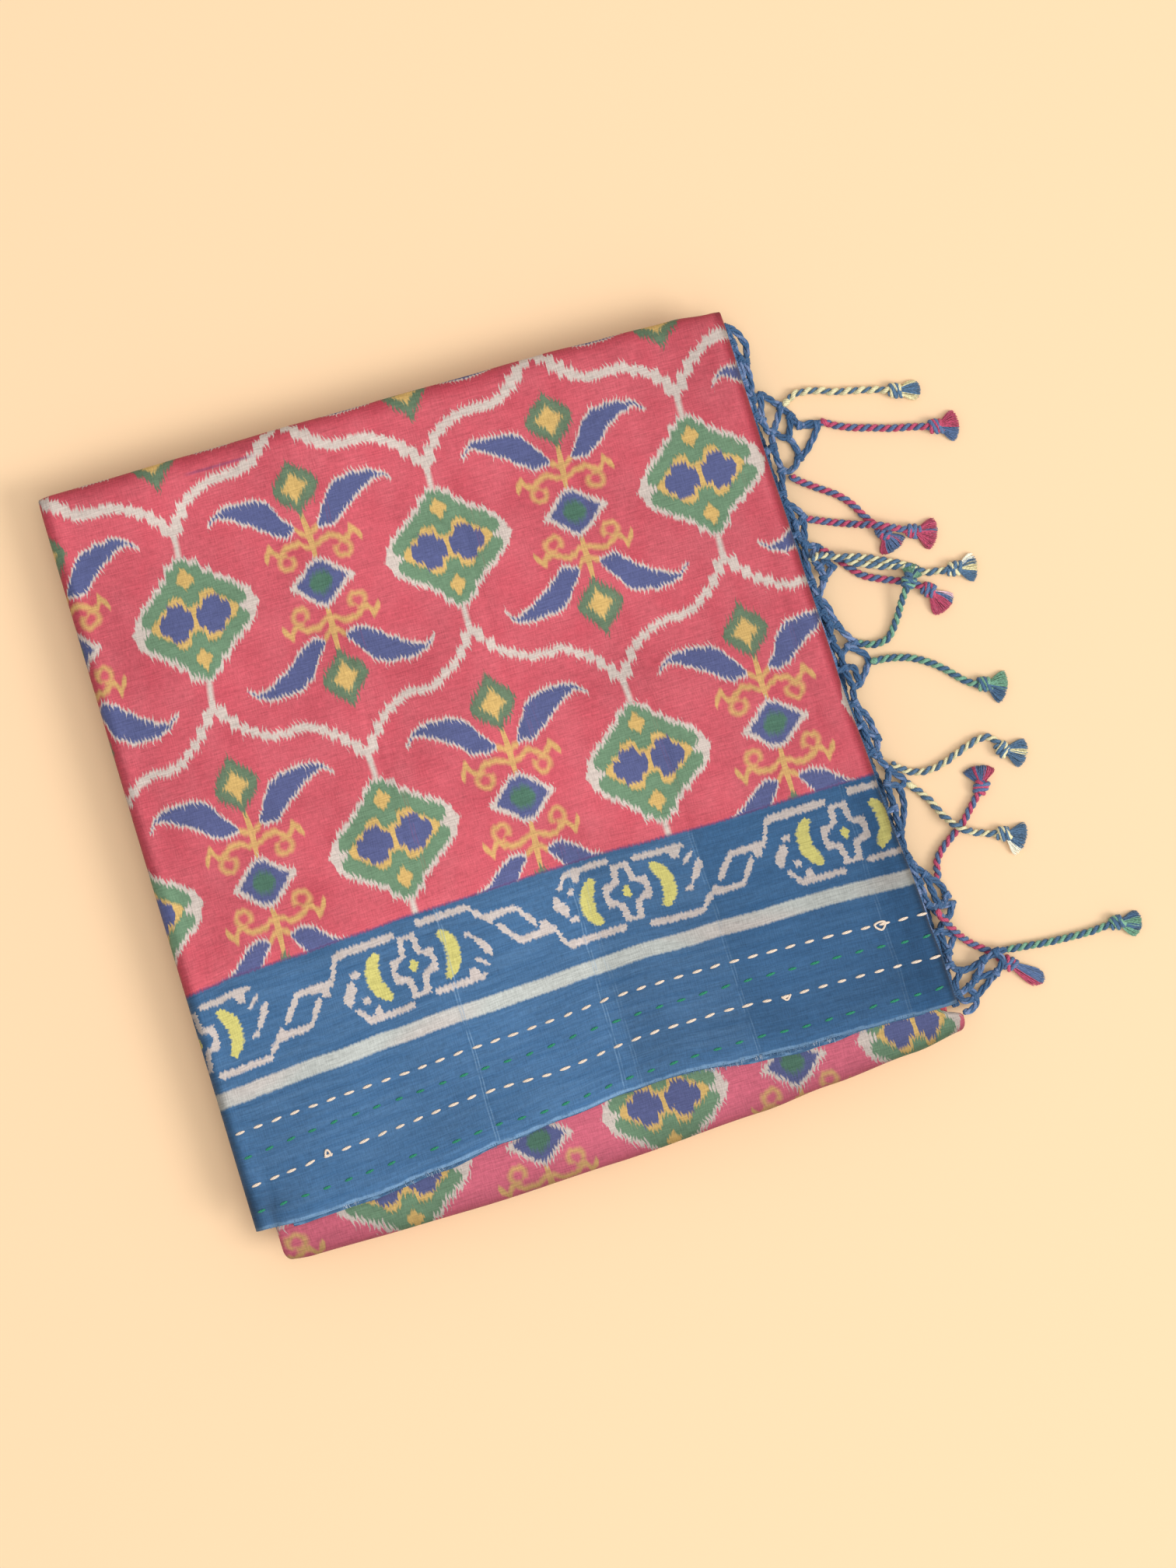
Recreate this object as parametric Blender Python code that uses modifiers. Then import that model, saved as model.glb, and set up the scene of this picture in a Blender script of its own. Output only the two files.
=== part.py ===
"""Folded tussar silk saree, lying flat with the knotted fringe of its end spread on one side.

The saree is folded in four across its width, then over and over along its length. The top
leaf, the selvedge under it and the mid-fold under that are cloth walls. The hidden leaves
share one layered block. The fringe is a net of tied strands with thirteen twisted cords.

Sizes and tables are in millimetres and turned into metres when the meshes are made.
+X runs along the border towards the fringe, +Y to the far fold, +Z up.
"""
import math

import bmesh
import bpy
from mathutils import Vector

MM = 0.001

# driving sizes
HEIGHT = 26.4            # top of the pack at its middle
CROWN = 1.5              # fall of the top from the middle to each side
TOP_WALL = 1.3           # thickness of the top leaf
UNDER_WALL = 1.1         # thickness of the under selvedge
FOLD_WALL = 1.2          # thickness of the mid-fold leaf
GAP = 0.4                # clear space between neighbouring pieces
BAND_Y = -96.0           # the near band, where two leaves lie between block and top leaf
BAND_RAMP = 8.0          # length over which the block steps up behind that band
HIDDEN_END = -121.0      # where the two leaves in that band stop

LEFT_ROLL = (5.5, 4.2)   # reach and depth of each rolled edge of the top leaf
RIGHT_ROLL = (5.0, 4.2)
FAR_ROLL = (11.0, 5.0)
NEAR_ROLL = (4.5, 3.4)   # the mid-fold leaf's own roll
FOLD_SIDE_ROLL = (3.0, 2.6)
ROLL_END = math.radians(116)

NET_RADIUS = 1.05        # a strand of the net
CORD_RADIUS = 1.55       # a twisted cord
KNOT_RADIUS = 2.45       # the knot at a cord's end
TUFT_RADIUS = 0.8        # a strand of the tuft behind the knot
FLOOR_GAP = 0.5          # the fringe's lowest points over the floor
EXIT_HEIGHT = 13.4       # where the fringe leaves the pack
STRIP = (7.5, 3.2, 1.6)  # the cloth's end: inner reach, outer reach, thickness

# outlines of the pack: position along the side, position of the edge
RIGHT_EDGE = ((-150, 141.2), (-120, 140.6), (-100, 139.5), (-48, 136.2), (0, 134.1), (45, 133.1),
              (95, 132.1), (150, 131.6))
NEAR_EDGE = ((-142, -140.8), (-122, -141.8), (-94, -140.9), (-67, -138.4), (-39, -135.7),
             (-11, -133.2), (10, -131.0), (30, -130.4), (58, -132.6), (80, -134.0), (142, -135.7))
MID_EDGE = ((-134, -155.0), (-120, -156.4), (-80, -157.1), (-50, -157.4), (0, -156.3),
            (58, -154.0), (86, -151.8), (120, -149.4), (142, -146.5))

# ridges of the block's sides, from the slot's level down: level of the groove above each
# ridge, then how far the ridge stands back at the left, right, far and near side
TOP_RIDGE = (0, 1.0, 0.6, 1.7, 1.5)
RIDGES = (
    # level, left, right, far, near
    (13.4, 0.2, 1.3, 1.1, 1.2),
    (9.0, 1.2, 1.8, 0.3, 0.3),
    (4.5, 0.5, 1.3, 0.8, 0.9),
)
SIDES = {"left": 1, "right": 2, "far": 3, "near": 4}
BLOCK_ROLLS = {"left": (2.2, 2.0), "right": (3.6, 2.9), "far": (9.6, 3.8), "near": (3.2, 2.0)}
GROOVE = 1.2             # depth of the grooves between the ridges
SLOT_DEPTH = 9.0         # the slot at the right side, where the fringe comes out
SLOT_HALF = 1.55         # half its height

# knots of the net: x, y and how far each is lifted over what lies below it
KNOTS = {
    "u0": (132.6, 137.4, 0), "u1": (135.5, 135.5, 0), "u2": (138.0, 129.0, 0),
    "u3": (136.0, 123.0, 0), "u4": (135.5, 116.0, 0), "u5": (134.0, 108.0, 0),
    "u6": (133.0, 131.0, 0), "u7": (134.2, 124.0, 0.4), "u8": (132.8, 115.0, 0),
    "a0": (138.0, 109.3, 0), "a1": (142.0, 105.8, 0), "a2": (144.5, 103.0, 0),
    "a3": (147.0, 98.5, 0), "a4": (149.5, 94.0, 0), "a5": (156.0, 92.5, 0),
    "b0": (149.5, 84.5, 0), "b1": (145.5, 82.0, 0), "b2": (141.5, 78.6, 0),
    "b3": (137.0, 78.5, 0), "c0": (138.0, 94.5, 0), "c1": (135.5, 99.5, 0),
    "c2": (133.2, 101.5, 0), "c3": (143.5, 91.0, 0), "c4": (145.3, 87.0, 0),
    "c5": (136.5, 88.5, 0), "c6": (133.4, 87.6, 0),
    "d0": (134.6, 70.0, 0), "d1": (134.8, 66.0, 0), "d2": (140.0, 59.5, 0),
    "d3": (136.2, 58.0, 0), "d4": (135.2, 53.5, 0), "d5": (137.3, 49.5, 0),
    "d6": (142.0, 47.0, 0), "d7": (138.6, 44.0, 0), "d8": (137.7, 63.8, 0.4),
    "e0": (135.6, 42.0, 0), "e1": (135.3, 34.0, 0), "e2": (135.6, 27.5, 0),
    "e3": (140.3, 39.0, 0), "e4": (140.5, 34.5, 0), "e5": (145.6, 38.0, 0),
    "e6": (143.2, 41.5, 0), "e7": (137.8, 30.5, 0),
    "f0": (138.4, 24.5, 0), "f1": (140.3, 15.5, 0), "f2": (145.5, 7.0, 0),
    "f3": (136.2, 22.0, 0), "f4": (137.4, 17.0, 0), "f5": (136.3, 11.0, 0),
    "f6": (138.2, 5.0, 0), "f7": (142.0, 7.0, 0),
    "g0": (147.6, 2.0, 0), "g1": (147.6, -1.8, 0), "g2": (142.0, -8.0, 0),
    "g3": (139.0, -8.6, 0), "g4": (137.7, -1.0, 0), "g5": (141.5, -1.5, 0),
    "h0": (137.7, -15.0, 0), "h1": (141.0, -21.5, 0), "h2": (142.2, -30.5, 0),
    "h3": (138.0, -24.0, 0), "h4": (140.3, -37.0, 0), "h5": (143.3, -43.5, 0),
    "h6": (138.6, -35.0, 0), "i0": (148.0, -49.0, 0), "i1": (144.8, -51.0, 0),
    "i2": (140.5, -48.0, 0), "i3": (144.5, -58.5, 0), "i4": (139.8, -68.0, 0),
    "i5": (140.4, -58.0, 0), "j0": (139.7, -77.5, 0), "j1": (144.5, -86.0, 0),
    "j2": (149.0, -91.0, 0), "j3": (150.5, -96.5, 0), "j4": (141.2, -88.0, 0),
    "j5": (146.5, -99.0, 0), "j6": (152.0, -100.3, 0), "j7": (147.5, -104.5, 0),
    "j8": (142.2, -97.5, 0), "k0": (143.4, -108.2, 0), "k1": (148.0, -111.8, 0),
    "k2": (144.0, -117.0, 0), "k3": (143.2, -122.0, 0), "l0": (147.0, -125.4, 0.2),
    "l1": (152.0, -125.6, 1.4), "l2": (157.0, -124.0, 3.7), "l3": (162.4, -122.6, 4.0),
    "l4": (166.2, -123.2, 2.2), "m0": (143.6, -129.0, 0), "m1": (142.9, -133.5, 0),
    "m2": (145.0, -137.0, 0), "m3": (149.8, -137.0, 0), "m4": (156.0, -133.5, 0),
    "m5": (160.2, -130.4, 1.8), "m6": (163.6, -126.6, 3.9), "m7": (152.0, -130.2, 0.3),
    "m8": (148.0, -132.6, 0), "m9": (147.8, -140.6, 0), "n0": (143.2, -141.2, 0),
}

# strands of the net, each a run of knots
STRANDS = (
    "u0 u1 u2 u3 u4 u5", "u0 u6 u7 u3", "u7 u8 u5", "u5 a0 a1 a2 a3 a4 a5", "u5 c2 c1",
    "a2 c0 c1 a0", "a3 c3 c0", "c0 c5 b3", "c3 c4 b1", "a4 a5 b0 b1 b2 b3", "c5 c6",
    "b3 d0 d1 d8 d2", "d1 d3 d2", "d3 d4 d5 d6", "d2 d5", "d5 e0 e1 e2", "d6 d7 e3 e4 e7 e2",
    "e5 e4", "e3 e6 e5", "e2 f0 f1 f2", "e2 f3 f4 f1", "f4 f5 f6 f7 f2", "f7 g0 g1 g2 g3",
    "f6 g4 g3", "g4 g5 g2", "g3 h0 h1 h2", "h0 h3 h2", "h2 h4 h5", "h3 h6 h4", "h5 i0 i1",
    "i2 h5", "i2 i1 i3 i4", "i2 i5 i4", "i4 j0 j1 j2 j3", "j0 j4 j8 j5 j6", "j1 j5 j3",
    "j6 j7 j8", "j7 k0 k2", "k0 k1 k2 k3", "k3 l0 l1 l2 l3 l4", "l0 m0 m1 m2 m3 m4 m5 m6 l3",
    "l2 m7 m8 m1", "m7 m5", "m8 m3 m9 n0",
)

# knots that are tied to the cloth's end inside the pack
TIED = ("u0", "u6", "u8", "c2", "c6", "d0", "d4", "e1", "f3", "f5", "g4", "h0", "h3", "h6",
        "i5", "i4", "j4", "k0", "k3")

# cords: colour, route as x, y, lift; then the tuft's direction, half spread and length
CORDS = (
    ("yellow", ((145.8, 103.2, 0), (150, 106, 0), (154, 106.2, 0), (160, 105, 0),
                (166, 102.6, 0), (174.5, 100.6, 0), (182.5, 98.4, 0), (188.7, 96, 0)),
     (-13, 24, 8.6)),
    ("pink", ((157.7, 93.1, 0), (163, 89.8, 0), (169.5, 87, 0), (176, 85, 0), (182.5, 82.8, 0),
              (191, 80.8, 0), (199.7, 78.2, 0)), (-13, 24, 8.2)),
    ("pink", ((140.1, 75.9, 0), (143.5, 73, 0), (149.5, 68.5, 0), (155.5, 64, 0),
              (159.8, 59, 0), (162.5, 54, 0), (165.2, 49.8, 0), (168.3, 45.0, 0)),
     (-72, 40, 7.4)),
    ("pink", ((141.0, 58.6, 0), (149.5, 55, 0), (155.5, 52.5, 0), (161, 50.2, 2.2),
              (166, 48.4, 4.7), (171, 46.0, 4.9), (175, 44.2, 2.4), (179.5, 42, 0.2)),
     (-24, 39, 8.6)),
    ("yellow", ((137.4, 42.6, 3.8), (141, 43.6, 4.2), (145, 42.2, 4.0), (149, 40.6, 3.9),
                (154, 39.4, 3.6), (159.5, 37.4, 1.4), (166, 34.2, 0), (172, 31, 0),
                (178.5, 26, 0), (184, 24.6, 0), (190.5, 23.6, 0)), (-12, 34, 9.2)),
    ("pink", ((143.0, 46.0, 0), (147, 42, 0), (150.5, 37.4, 0), (155.3, 31.8, 0),
              (161, 28.6, 0), (167, 26, 0), (171, 24, 0), (174.5, 22, 0), (178.5, 18.5, 0)),
     (-60, 46, 8.8)),
    ("green", ((146.6, 6.8, 0), (151, 5.0, 0), (154, 4.6, 0), (158, 5.5, 0), (161, 8.5, 0),
               (164, 12.6, 0.8), (167, 17.5, 2.6), (169.5, 21, 4.2), (171.8, 24.2, 4.6)),
     (52, 28, 6.4)),
    ("green", ((149.0, -1.4, 0), (154, -1.8, 0), (158, -2.5, 0), (164.5, -4.6, 0),
               (171, -8.6, 0), (176, -13, 0), (180, -17.4, 0), (184, -20.8, 0),
               (188.5, -22.6, 0)), (-24, 38, 8.6)),
    ("yellow", ((144.8, -41.6, 0), (151, -46.4, 0), (157.5, -48, 0), (164.5, -47, 0),
                (171.5, -44.6, 0), (178.5, -42.4, 0), (183, -42.2, 0), (186.2, -44.6, 0),
                (187.6, -48.6, 0)), (-28, 38, 8.4)),
    ("yellow", ((148.5, -50.2, 0), (152.2, -55, 0), (155.4, -60, 0.2), (157.6, -65.4, 1.2),
                (160.4, -70, 3.4), (162.8, -72.6, 3.8), (165, -74.4, 3.4), (169, -76.6, 1.0),
                (174, -78.5, 0), (178.6, -80, 0)), (-34, 34, 8.4)),
    ("pink", ((149.2, -88.9, 0), (150.6, -83, 0), (154.3, -78.6, 0), (160, -74.6, 0),
              (165, -71, 0), (169, -67, 0), (173, -63, 0), (175.6, -60, 0)), (80, 42, 7.6)),
    ("pink", ((144.2, -100.4, 3.4), (147, -106.4, 3.8), (151, -113, 2.8), (155, -117.6, 0.4),
              (159.5, -121.4, 0), (162.6, -125, 0), (166, -128.6, 0)), (-44, 15, 11.0)),
    ("green", ((166.8, -123.2, 0), (173.5, -124, 0), (181.5, -125, 0), (190, -125.6, 0),
               (199.5, -126, 0), (206, -125.6, 0), (210.5, -125.6, 0)), (-20, 28, 8.0)),
)

# the second strand of the doubled yellow cord; it joins the first one at both ends
DOUBLED = 4
SECOND_STRAND = ((150.6, 38.7, 3.6), (154, 36.8, 3.5), (159, 34.7, 1.8), (164, 32.6, 0.3),
                 (168.5, 31.4, 0), (172.5, 30.4, 0))

COLOURS = {
    "field": (0.66, 0.09, 0.14), "border": (0.04, 0.12, 0.30), "edge": (0.50, 0.05, 0.10),
    "navy": (0.05, 0.13, 0.29), "yellow": (0.72, 0.70, 0.34), "pink": (0.62, 0.05, 0.13),
    "green": (0.16, 0.42, 0.24),
}


def smooth(edge0, edge1, value):
    """Smooth step from 0 at edge0 to 1 at edge1; the two may be in either order."""
    t = min(1.0, max(0.0, (value - edge0) / (edge1 - edge0)))
    return t * t * (3 - 2 * t)


def along(table, position):
    """Height of a smooth line through a table of (position, value) rows."""
    for (x0, v0), (x1, v1) in zip(table, table[1:]):
        if position <= x1:
            return v0 + (v1 - v0) * smooth(x0, x1, position)
    return table[-1][1]


def left_x(y):
    return -139.1 - 1.6 * (150 - y) / 290


def far_y(x):
    return 147.3 - 0.0247 * (x + 4) + 0.5 * math.sin(x / 27)


def top_height(x, y):
    """Height of the top leaf: a low crown with slow waves."""
    crown = CROWN * ((x / 140) ** 2 + (y / 150) ** 2)
    return HEIGHT - crown + 0.35 * math.sin(x / 24 + 0.6) * math.cos(y / 33 - 0.4)


def make_material(name, colour, roughness):
    material = bpy.data.materials.new(name)
    material.use_nodes = True
    shader = material.node_tree.nodes["Principled BSDF"]
    shader.inputs["Base Color"].default_value = (*colour, 1.0)
    shader.inputs["Roughness"].default_value = roughness
    shader.inputs["Metallic"].default_value = 0.0
    shader.inputs["Sheen Weight"].default_value = 0.2
    material.diffuse_color = (*colour, 1.0)
    return material


def add_object(mesh, name, collection, material=None):
    obj = bpy.data.objects.new(name, mesh)
    collection.objects.link(obj)
    if material:
        mesh.materials.append(material)
    return obj


def roll_offset(steps, rolls):
    """Offset of a rolled edge from the flat cloth's rim.

    steps is how far round the roll the point is, left or right and near or far, each -1..1.
    rolls holds (reach, depth) for the left, right, near and far side.
    """
    sx, sy = steps
    turn = max(abs(sx), abs(sy))
    if turn == 0:
        return Vector((0, 0, 0))
    side = Vector((sx, sy)).normalized()
    reach_x, depth_x = rolls[1] if sx > 0 else rolls[0]
    reach_y, depth_y = rolls[3] if sy > 0 else rolls[2]
    angle = turn * ROLL_END
    depth = depth_x * side.x ** 2 + depth_y * side.y ** 2
    return Vector((reach_x * side.x * math.sin(angle), reach_y * side.y * math.sin(angle),
                   -depth * (1 - math.cos(angle))))


def sheet(name, columns, rows, surface, wall, collection, material):
    """A cloth wall: a grid moved onto surface(column, row), thickened inwards."""
    bm = bmesh.new()
    bmesh.ops.create_grid(bm, x_segments=len(columns) - 1, y_segments=len(rows) - 1, size=1)
    for vert in bm.verts:
        i = round((vert.co.x + 1) / 2 * (len(columns) - 1))
        j = round((vert.co.y + 1) / 2 * (len(rows) - 1))
        vert.co = Vector(surface(columns[i], rows[j])) * MM
    mesh = bpy.data.meshes.new(name)
    bm.to_mesh(mesh)
    bm.free()
    obj = add_object(mesh, name, collection, material)
    solid = obj.modifiers.new("cloth thickness", "SOLIDIFY")
    solid.thickness = wall * MM
    solid.offset = -1.0
    mesh.shade_smooth()
    mesh.set_sharp_from_angle(angle=math.radians(50))
    return obj


def steps_with_rolls(start_roll, flat, end_roll):
    """Grid positions: -1..0 on the first roll, 0..1 over the flat cloth, 1..2 on the last."""
    values = [-1 + k / start_roll for k in range(start_roll)] if start_roll else []
    values += [k / flat for k in range(flat + 1)]
    if end_roll:
        values += [1 + (k + 1) / end_roll for k in range(end_roll)]
    return values


def roll_step(value):
    return value if value < 0 else max(0.0, value - 1)


def top_leaf_point(u, v):
    s = min(1.0, max(0.0, u))
    t = min(1.0, max(0.0, v))
    x = -135 + 270 * s
    y0 = along(NEAR_EDGE, x)
    y = y0 + (far_y(x) - FAR_ROLL[0] - y0) * t
    left = left_x(y) + LEFT_ROLL[0]
    right = along(RIGHT_EDGE, y) - RIGHT_ROLL[0]
    x = left + (right - left) * s
    point = Vector((x, y, top_height(x, y)))
    rolls = (LEFT_ROLL, RIGHT_ROLL, FAR_ROLL, FAR_ROLL)
    return point + roll_offset((roll_step(u), roll_step(v)), rolls)


def under_selvedge_point(u, v):
    """The second selvedge: it peeps out by about a millimetre where the top one is bowed."""
    x = -126 + 254 * u
    peep = 0.5 + 1.7 * smooth(45, 62, x) * smooth(105, 88, x) + 0.9 * smooth(-40, -62, x)
    edge = along(NEAR_EDGE, x) - peep
    y = edge + (HIDDEN_END - edge) * v
    return (x, y, top_height(x, y) - TOP_WALL - GAP)


def mid_fold_point(u, v):
    """The mid-fold leaf: rolled where it shows, and flat to its hidden end on the right."""
    s = min(1.0, max(0.0, u))
    t = min(1.0, max(0.0, v))
    x = -128 + 267 * s
    near = along(MID_EDGE, x) + NEAR_ROLL[0]
    y = near + (HIDDEN_END + 1 - near) * t
    hidden = smooth(-141.0, -136.0, y)
    right = 142.0 - 8.2 * hidden - FOLD_SIDE_ROLL[0]
    left = -133.3 + FOLD_SIDE_ROLL[0]
    x = left + (right - left) * s
    z = top_height(x, y) - TOP_WALL - UNDER_WALL - 2 * GAP
    rolls = (FOLD_SIDE_ROLL, FOLD_SIDE_ROLL, NEAR_ROLL, NEAR_ROLL)
    offset = roll_offset((roll_step(u), roll_step(v)), rolls)
    if u > 1:
        flat = Vector((FOLD_SIDE_ROLL[0] * (u - 1), 0, 0))
        offset = offset.lerp(flat, hidden)
    return Vector((x, y, z)) + offset


def block_outline():
    """Outline of the hidden leaves: x, y, outward normal and the weight of each side."""
    rim = TOP_WALL + GAP
    near_rim = FOLD_WALL + GAP
    left = -133.0 + near_rim
    points = []
    for k in range(11):
        x = left + 3 + (134.5 - left - 3) * k / 10
        points.append((x, along(MID_EDGE, x) + near_rim + 0.6, 0, -1, "near"))
    points.append((137.2, -144.0, 0.8, -0.6, "near"))
    right_y = (-139, -136.5, -126, -108, -84, -60, -36, -12, 12, 40, 70, 100, 122, 133)
    for y in right_y:
        x = min(along(RIGHT_EDGE, y) - rim - 0.7, 137.2 + 6 * smooth(-134, -120, y))
        points.append((x, y, 1, 0, "right"))
    corner = (along(RIGHT_EDGE, 146) - rim, far_y(130) - rim - 1.0)
    points.append((corner[0] - 2.6, corner[1] - 6.0, 0.9, 0.44, "far"))
    points.append((corner[0] - 6.5, corner[1] - 2.2, 0.44, 0.9, "far"))
    for k in range(9):
        x = 119 - 245 * k / 8
        points.append((x, far_y(x) - rim - 1.0, 0, 1, "far"))
    top = far_y(-132) - rim
    points.append((left + 0.8, top - 1.6, -0.7, 0.7, "far"))
    for y in (138, 104, 70, 36, 0, -36, -70, -96, -118, -140):
        points.append((left, y, -1, 0, "left"))
    points.append((left + 0.5, -150.5, -0.9, -0.44, "left"))
    return points


def block_top(x, y):
    """Height of the block's top: it is lower in the near band, below the two other leaves."""
    band = smooth(BAND_Y + BAND_RAMP, BAND_Y, y)
    return top_height(x, y) - TOP_WALL - 0.7 - band * (UNDER_WALL + FOLD_WALL + 2 * GAP)


def side_profile(x, y, side):
    """Points down the block's side: distance inside the outline, and height."""
    top = block_top(x, y)
    reach, depth = BLOCK_ROLLS[side]
    rows = []
    for degrees in (8, 34, 60, 88):
        angle = math.radians(degrees)
        rows.append((reach * (1 - math.sin(angle)), top - depth * (1 - math.cos(angle))))
    column = SIDES[side]
    slotted = side == "right" and -137 < y < 134
    half, inset = (SLOT_HALF, SLOT_DEPTH) if slotted else (0.15, GROOVE + 0.6)
    levels = [row[0] for row in RIDGES] + [0.0]
    rows.append((TOP_RIDGE[column], levels[0] + max(half, 0.9) + 0.1))
    for number, ridge in enumerate(RIDGES):
        level, back = ridge[0], ridge[column]
        thick = level - levels[number + 1]
        shoulder = level - 0.22 * thick
        if number == 0:
            shoulder = level - SLOT_HALF - 0.1
            rows.append((inset, level + half))
            rows.append((inset, level - half))
        else:
            rows.append((back + GROOVE, level))
        rows.append((back, shoulder))
        rows.append((back, level - 0.8 * thick))
    rows.append((back + 1.3, 0.0))
    return rows


def folded_block(name, collection, material):
    """The hidden leaves: side profiles lofted round the outline, closed by a flat cap."""
    columns = []
    for x, y, nx, ny, side in block_outline():
        columns.append([Vector((x - nx * inset, y - ny * inset, z))
                        for inset, z in side_profile(x, y, side)])
    for column in columns:
        rim = column[0]
        for scale in (0.9, 0.78, 0.7):
            x, y = rim.x * scale, rim.y * scale
            column.insert(0, Vector((x, y, block_top(x, y) - 0.05)))
    flat = min(column[0].z for column in columns) - 0.1
    bm = bmesh.new()
    for column in columns:
        column[0].z = flat
    verts = [[bm.verts.new(point * MM) for point in column] for column in columns]
    for here, following in zip(verts, verts[1:] + verts[:1]):
        for k in range(len(here) - 1):
            bm.faces.new((here[k], here[k + 1], following[k + 1], following[k]))
    bm.faces.new([column[0] for column in verts])
    bm.faces.new([column[-1] for column in reversed(verts)])
    bmesh.ops.recalc_face_normals(bm, faces=bm.faces)
    mesh = bpy.data.meshes.new(name)
    bm.to_mesh(mesh)
    bm.free()
    return add_object(mesh, name, collection, material)


def under_height(x, y):
    """Height of the fringe's underside: it falls from the pack's side to the floor."""
    out = x - along(RIGHT_EDGE, y)
    start = EXIT_HEIGHT - NET_RADIUS - 1.4 - 3.5 * smooth(-122, -132, y)
    return FLOOR_GAP + (start - FLOOR_GAP) * smooth(13.5, 0.0, out)


def curved(points, step):
    """A smooth route through the points, sampled about every step."""
    ends = [points[0] * 2 - points[1]] + list(points) + [points[-1] * 2 - points[-2]]
    route = []
    for a, b, c, d in zip(ends, ends[1:], ends[2:], ends[3:]):
        pieces = max(1, round((c - b).length / step))
        for k in range(pieces):
            t = k / pieces
            route.append(0.5 * (2 * b + (c - a) * t + (2 * a - 5 * b + 4 * c - d) * t ** 2
                                + (3 * b - a - 3 * c + d) * t ** 3))
    route.append(points[-1])
    return route


def strand(name, route, radius, collection, swell=None, sides=4):
    """A round strand along the route, as a closed mesh; swell scales its radius."""
    curve = bpy.data.curves.new(name, "CURVE")
    curve.dimensions = "3D"
    curve.bevel_depth = radius * MM
    curve.bevel_resolution = (sides - 4) // 2
    curve.use_fill_caps = True
    spline = curve.splines.new("POLY")
    spline.points.add(len(route) - 1)
    for number, point in enumerate(route):
        spline.points[number].co = (*(point * MM), 1.0)
        spline.points[number].radius = swell[number] if swell else 1.0
    guide = bpy.data.objects.new(name + "_guide", curve)
    collection.objects.link(guide)
    evaluated = guide.evaluated_get(bpy.context.evaluated_depsgraph_get())
    mesh = bpy.data.meshes.new_from_object(evaluated)
    bpy.data.objects.remove(guide)
    bm = bmesh.new()
    bm.from_mesh(mesh)
    bmesh.ops.remove_doubles(bm, verts=bm.verts, dist=0.00001)
    bmesh.ops.recalc_face_normals(bm, faces=bm.faces)
    bm.to_mesh(mesh)
    bm.free()
    mesh.name = name
    return add_object(mesh, name, collection)


def fuse(target, parts, cutters):
    """Join the parts into the target, so that they are one body; done when all are made."""
    group = bpy.data.collections.new(target.name + "_parts")
    cutters.children.link(group)
    for part in parts:
        for owner in list(part.users_collection):
            owner.objects.unlink(part)
        group.objects.link(part)
        part.hide_render = True
        part.display_type = "WIRE"
    union = target.modifiers.new("joined strands", "BOOLEAN")
    union.operation = "UNION"
    union.operand_type = "COLLECTION"
    union.collection = group
    union.solver = "EXACT"


def knot_point(name):
    x, y, lift = KNOTS[name]
    return Vector((x, y, under_height(x, y) + NET_RADIUS + lift))


def fringe_net(name, collection, cutters, material):
    """The cloth's end, a narrow strip, with the net of tied strands that hangs from it."""
    inner, outer, thick = STRIP
    rows = [-134 + 264 * k / 18 for k in range(19)]

    def strip_point(u, v):
        y = rows[round(v * 18)]
        reach = inner + (outer - inner) * u
        return (along(RIGHT_EDGE, y) - reach, y, EXIT_HEIGHT + thick / 2)

    strip = sheet(name, [0.0, 1.0], [k / 18 for k in range(19)], strip_point, thick,
                  collection, material)
    parts = []
    for number, names in enumerate(STRANDS):
        points = [knot_point(knot) for knot in names.split()]
        nudge = Vector((0, 0, 0.03 * (number % 5)))
        route = curved([point + nudge for point in points], 7.0)
        parts.append(strand("strand_%02d" % number, route, NET_RADIUS, cutters))
    for number, knot in enumerate(TIED):
        end = knot_point(knot)
        edge = along(RIGHT_EDGE, end.y)
        y = min(end.y, 128.0)
        start = Vector((edge - 5.2, y, EXIT_HEIGHT))
        mouth = Vector((edge - 1.2, (y + end.y) / 2, EXIT_HEIGHT))
        parts.append(strand("tie_%02d" % number, [start, mouth, end], NET_RADIUS, cutters))
    return strip, parts


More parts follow.
